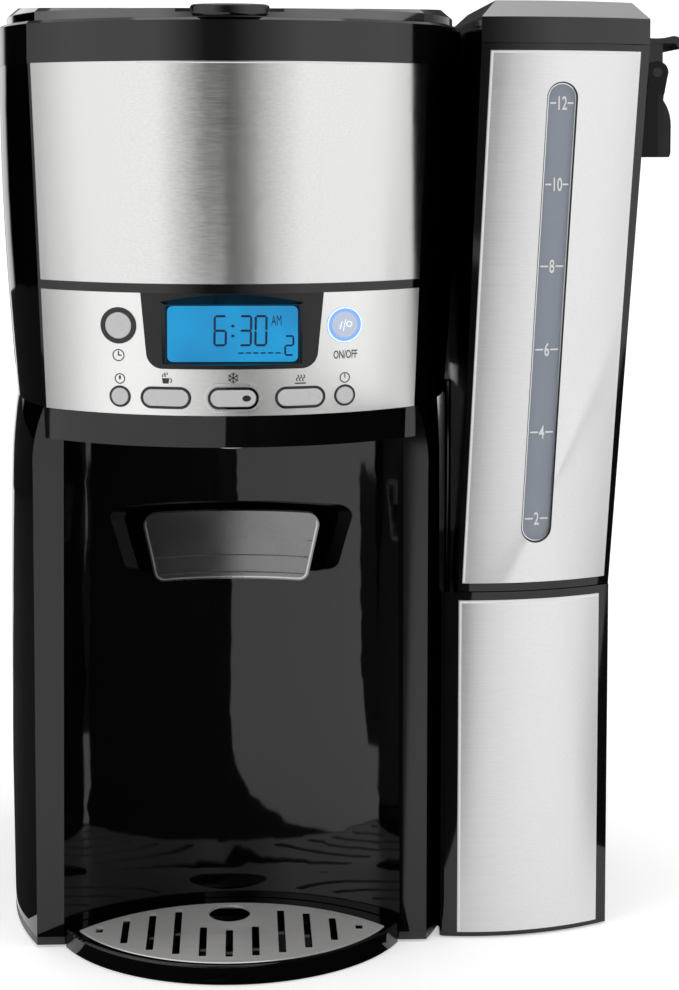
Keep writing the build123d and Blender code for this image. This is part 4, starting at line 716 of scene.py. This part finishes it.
def screen(name, low, high, behind, edge=1.0, left=0.0, radius=1.25, turns=96):
    """Open ring of card about the machine, seen only in gloss. Its brightness goes by direction: FRONT_LEVELS
    in front, and the given levels behind, at the left edge of the back and at the left.
    """
    verts, faces = [], []
    for z in (low, high):
        for i in range(turns):
            a = 2 * math.pi * i / turns
            verts.append((radius * math.sin(a), -radius * math.cos(a), z))
    for i in range(turns):
        j = (i + 1) % turns
        faces.append((i, j, turns + j, turns + i))
    mesh = bpy.data.meshes.new(name)
    mesh.from_pydata(verts, [], faces)
    ring = bpy.data.objects.new(name, mesh)
    ring.location = (BODY_X, 0, 0)
    bpy.context.scene.collection.objects.link(ring)
    mat = bpy.data.materials.new(name)
    mat.use_nodes = True
    tree = mat.node_tree
    tree.nodes.remove(tree.nodes["Principled BSDF"])
    place = tree.nodes.new("ShaderNodeTexCoord")
    parts = tree.nodes.new("ShaderNodeSeparateXYZ")
    tree.links.new(place.outputs["Object"], parts.inputs[0])
    flip = tree.nodes.new("ShaderNodeMath")
    flip.operation = "MULTIPLY"
    flip.inputs[1].default_value = -1.0
    tree.links.new(parts.outputs["Y"], flip.inputs[0])
    angle = tree.nodes.new("ShaderNodeMath")
    angle.operation = "ARCTAN2"
    tree.links.new(parts.outputs["X"], angle.inputs[0])
    tree.links.new(flip.outputs[0], angle.inputs[1])
    share = tree.nodes.new("ShaderNodeMapRange")
    share.inputs["From Min"].default_value = -math.pi
    share.inputs["From Max"].default_value = math.pi
    tree.links.new(angle.outputs[0], share.inputs["Value"])
    ramp = tree.nodes.new("ShaderNodeValToRGB")
    stops = ((-180, behind), (-166, behind), (-162, edge), (-150, edge), (-147, left), (-104, left))
    stops += FRONT_LEVELS
    stops += ((125, behind), (155, 0.9 * behind), (170, 1.3 * behind))
    while len(ramp.color_ramp.elements) < len(stops):
        ramp.color_ramp.elements.new(0.5)
    for element, (degrees, level) in zip(ramp.color_ramp.elements, stops):
        element.position = (degrees + 180) / 360
        element.color = (level, level, level, 1)
    tree.links.new(share.outputs[0], ramp.inputs["Fac"])
    lit = tree.nodes.new("ShaderNodeEmission")
    tree.links.new(ramp.outputs["Color"], lit.inputs["Color"])
    tree.links.new(lit.outputs[0], tree.nodes["Material Output"].inputs["Surface"])
    mesh.materials.append(mat)
    ring.visible_camera = False
    ring.visible_diffuse = False
    ring.visible_shadow = False


screen("screen_low", 0.1, 0.42, 0.02)
screen("screen_high", 0.42, 0.85, 0.04)
screen("screen_top", 0.85, 1.5, 1.1, 0.5, 0.15)


def white_sweep(name, glow):
    """White paper that shows as white wherever it is seen and still takes the object's shadow."""
    mat = bpy.data.materials.new(name)
    mat.use_nodes = True
    paper = mat.node_tree.nodes["Principled BSDF"]
    paper.inputs["Base Color"].default_value = (0.9, 0.9, 0.9, 1)
    paper.inputs["Roughness"].default_value = 0.7
    paper.inputs["Emission Color"].default_value = (1, 1, 1, 1)
    mat.node_tree.links.new(seen_directly(mat.node_tree, 0.0, glow), paper.inputs["Emission Strength"])
    return mat


# Paper sweep: floor that curves up into a wall behind the machine
SWEEP_HALF, SWEEP_TOP = 6.0, 5.0
CURVE_Y, CURVE_R, CURVE_STEPS = 1.2, 0.8, 12
profile = [(-SWEEP_HALF, 0.0), (CURVE_Y, 0.0)]
for i in range(1, CURVE_STEPS + 1):
    a = math.pi / 2 * i / CURVE_STEPS
    profile.append((CURVE_Y + CURVE_R * math.sin(a), CURVE_R - CURVE_R * math.cos(a)))
profile.append((CURVE_Y + CURVE_R, SWEEP_TOP))
verts, faces = [], []
for x in (-SWEEP_HALF, SWEEP_HALF):
    verts += [(x, y, z) for y, z in profile]
count = len(profile)
for i in range(count - 1):
    faces.append((i, i + count, i + count + 1, i + 1))
sweep_mesh = bpy.data.meshes.new("paper_sweep")
sweep_mesh.from_pydata(verts, [], faces)
sweep_mesh.polygons.foreach_set("use_smooth", [True] * len(faces))
sweep = bpy.data.objects.new("paper_sweep", sweep_mesh)
bpy.context.scene.collection.objects.link(sweep)
sweep.data.materials.append(white_sweep("paper", 0.45))

# Black flags: seen only in gloss, they darken parts of the alcove, the columns, the left flank and the slit
# beside the reservoir. Their corners are in millimetres about the brewing body, fitted to the front view.
cloth = bpy.data.materials.new("flag_cloth")
cloth.use_nodes = True
weave = cloth.node_tree.nodes["Principled BSDF"]
weave.inputs["Base Color"].default_value = (0.01, 0.01, 0.01, 1)
weave.inputs["Roughness"].default_value = 0.9
FLAG_Z = 0.6


def black_flag(name, corners):
    mesh = bpy.data.meshes.new(name)
    mesh.from_pydata([at(*corner) for corner in corners], [], [tuple(range(len(corners)))])
    flag = bpy.data.objects.new(name, mesh)
    bpy.context.scene.collection.objects.link(flag)
    flag.data.materials.append(cloth)
    flag.visible_camera = False
    flag.visible_shadow = False
    flag.visible_diffuse = False


def standing_flag(name, ends, low, high):
    (x0, y0), (x1, y1) = ends
    black_flag(name, ((x0, y0, low), (x0, y0, high), (x1, y1, high), (x1, y1, low)))


def floor_flag(name, outline):
    black_flag(name, [(x, y, FLAG_Z) for x, y in outline])


# Flag that stands at the right of the alcove and falls away toward the camera
FALLING_EDGE = (
    (70.5, -97, 223), (71.6, -110, 222), (73.4, -132, 219.6), (78.4, -193, 211.6), (80.5, -220, 208),
    (89.3, -328, 193.5), (104.8, -517, 162.5), (144.2, -1000, 95), (185, -1500, 12),
)
black_flag("flag_standing", ((70.5, -97, FLAG_Z), *FALLING_EDGE, (185, -1500, FLAG_Z)))
ALCOVE_SHADE = (
    (74, -100), (74, -138), (185, -1500), (202, -1700), (-60, -1700), (-60, -1000), (-10, -860),
    (2, -640), (2, -420), (-2, -320), (-15, -250), (-35, -205), (-48, -165), (-65, -125), (-85, -100),
)
floor_flag("flag_floor", ALCOVE_SHADE)
standing_flag("flag_back_left", ((-930, 726), (-442, 1094)), FLAG_Z, 170)
RIGHT_SHADE = (
    (250, -94), (250, -160), (400, -212), (532, -240), (841, -335), (1250, -420), (1250, -190), (890, -175),
    (620, -120), (425, -108),
)
FRONT_LEFT_SHADE = ((-215, -129), (-400, -200), (-700, -280), (-1180, -415), (-1180, -60), (-215, -60))
floor_flag("flag_floor_right", RIGHT_SHADE)
floor_flag("flag_floor_left", FRONT_LEFT_SHADE)
standing_flag("flag_slit", ((150, -1190), (235, -1175)), 55, 99)
standing_flag("flag_behind", ((110, 650), (310, 650)), FLAG_Z, 260)
LEFT_SHADE = ((-96, -62), (-100, 149), (-290, 564), (-470, 1040), (-680, 1500), (-2300, 1500), (-2300, -62))
floor_flag("flag_left", LEFT_SHADE)

# Camera: its focal length is worked out in pixels of the photograph, 990 high
FOCAL_PIXELS, PHOTO_HEIGHT, SENSOR = 2223.3, 990, 36
PITCH, YAW, ROLL = math.radians(4.40), math.radians(2.59), math.radians(0.06)
camera_data = bpy.data.cameras.new("camera")
camera_data.lens = FOCAL_PIXELS * SENSOR / PHOTO_HEIGHT
camera_data.sensor_width = SENSOR
camera_data.shift_y = -0.19
camera = bpy.data.objects.new("camera", camera_data)
bpy.context.scene.collection.objects.link(camera)
camera.location = at(3.4, -985.0, 332.3)
turn = Matrix.Rotation(-YAW, 4, "Z")
turn = turn @ Matrix.Rotation(math.pi / 2 - PITCH, 4, "X") @ Matrix.Rotation(ROLL, 4, "Z")
camera.rotation_euler = turn.to_euler()
bpy.context.scene.camera = camera
bpy.context.scene.view_settings.view_transform = "Standard"
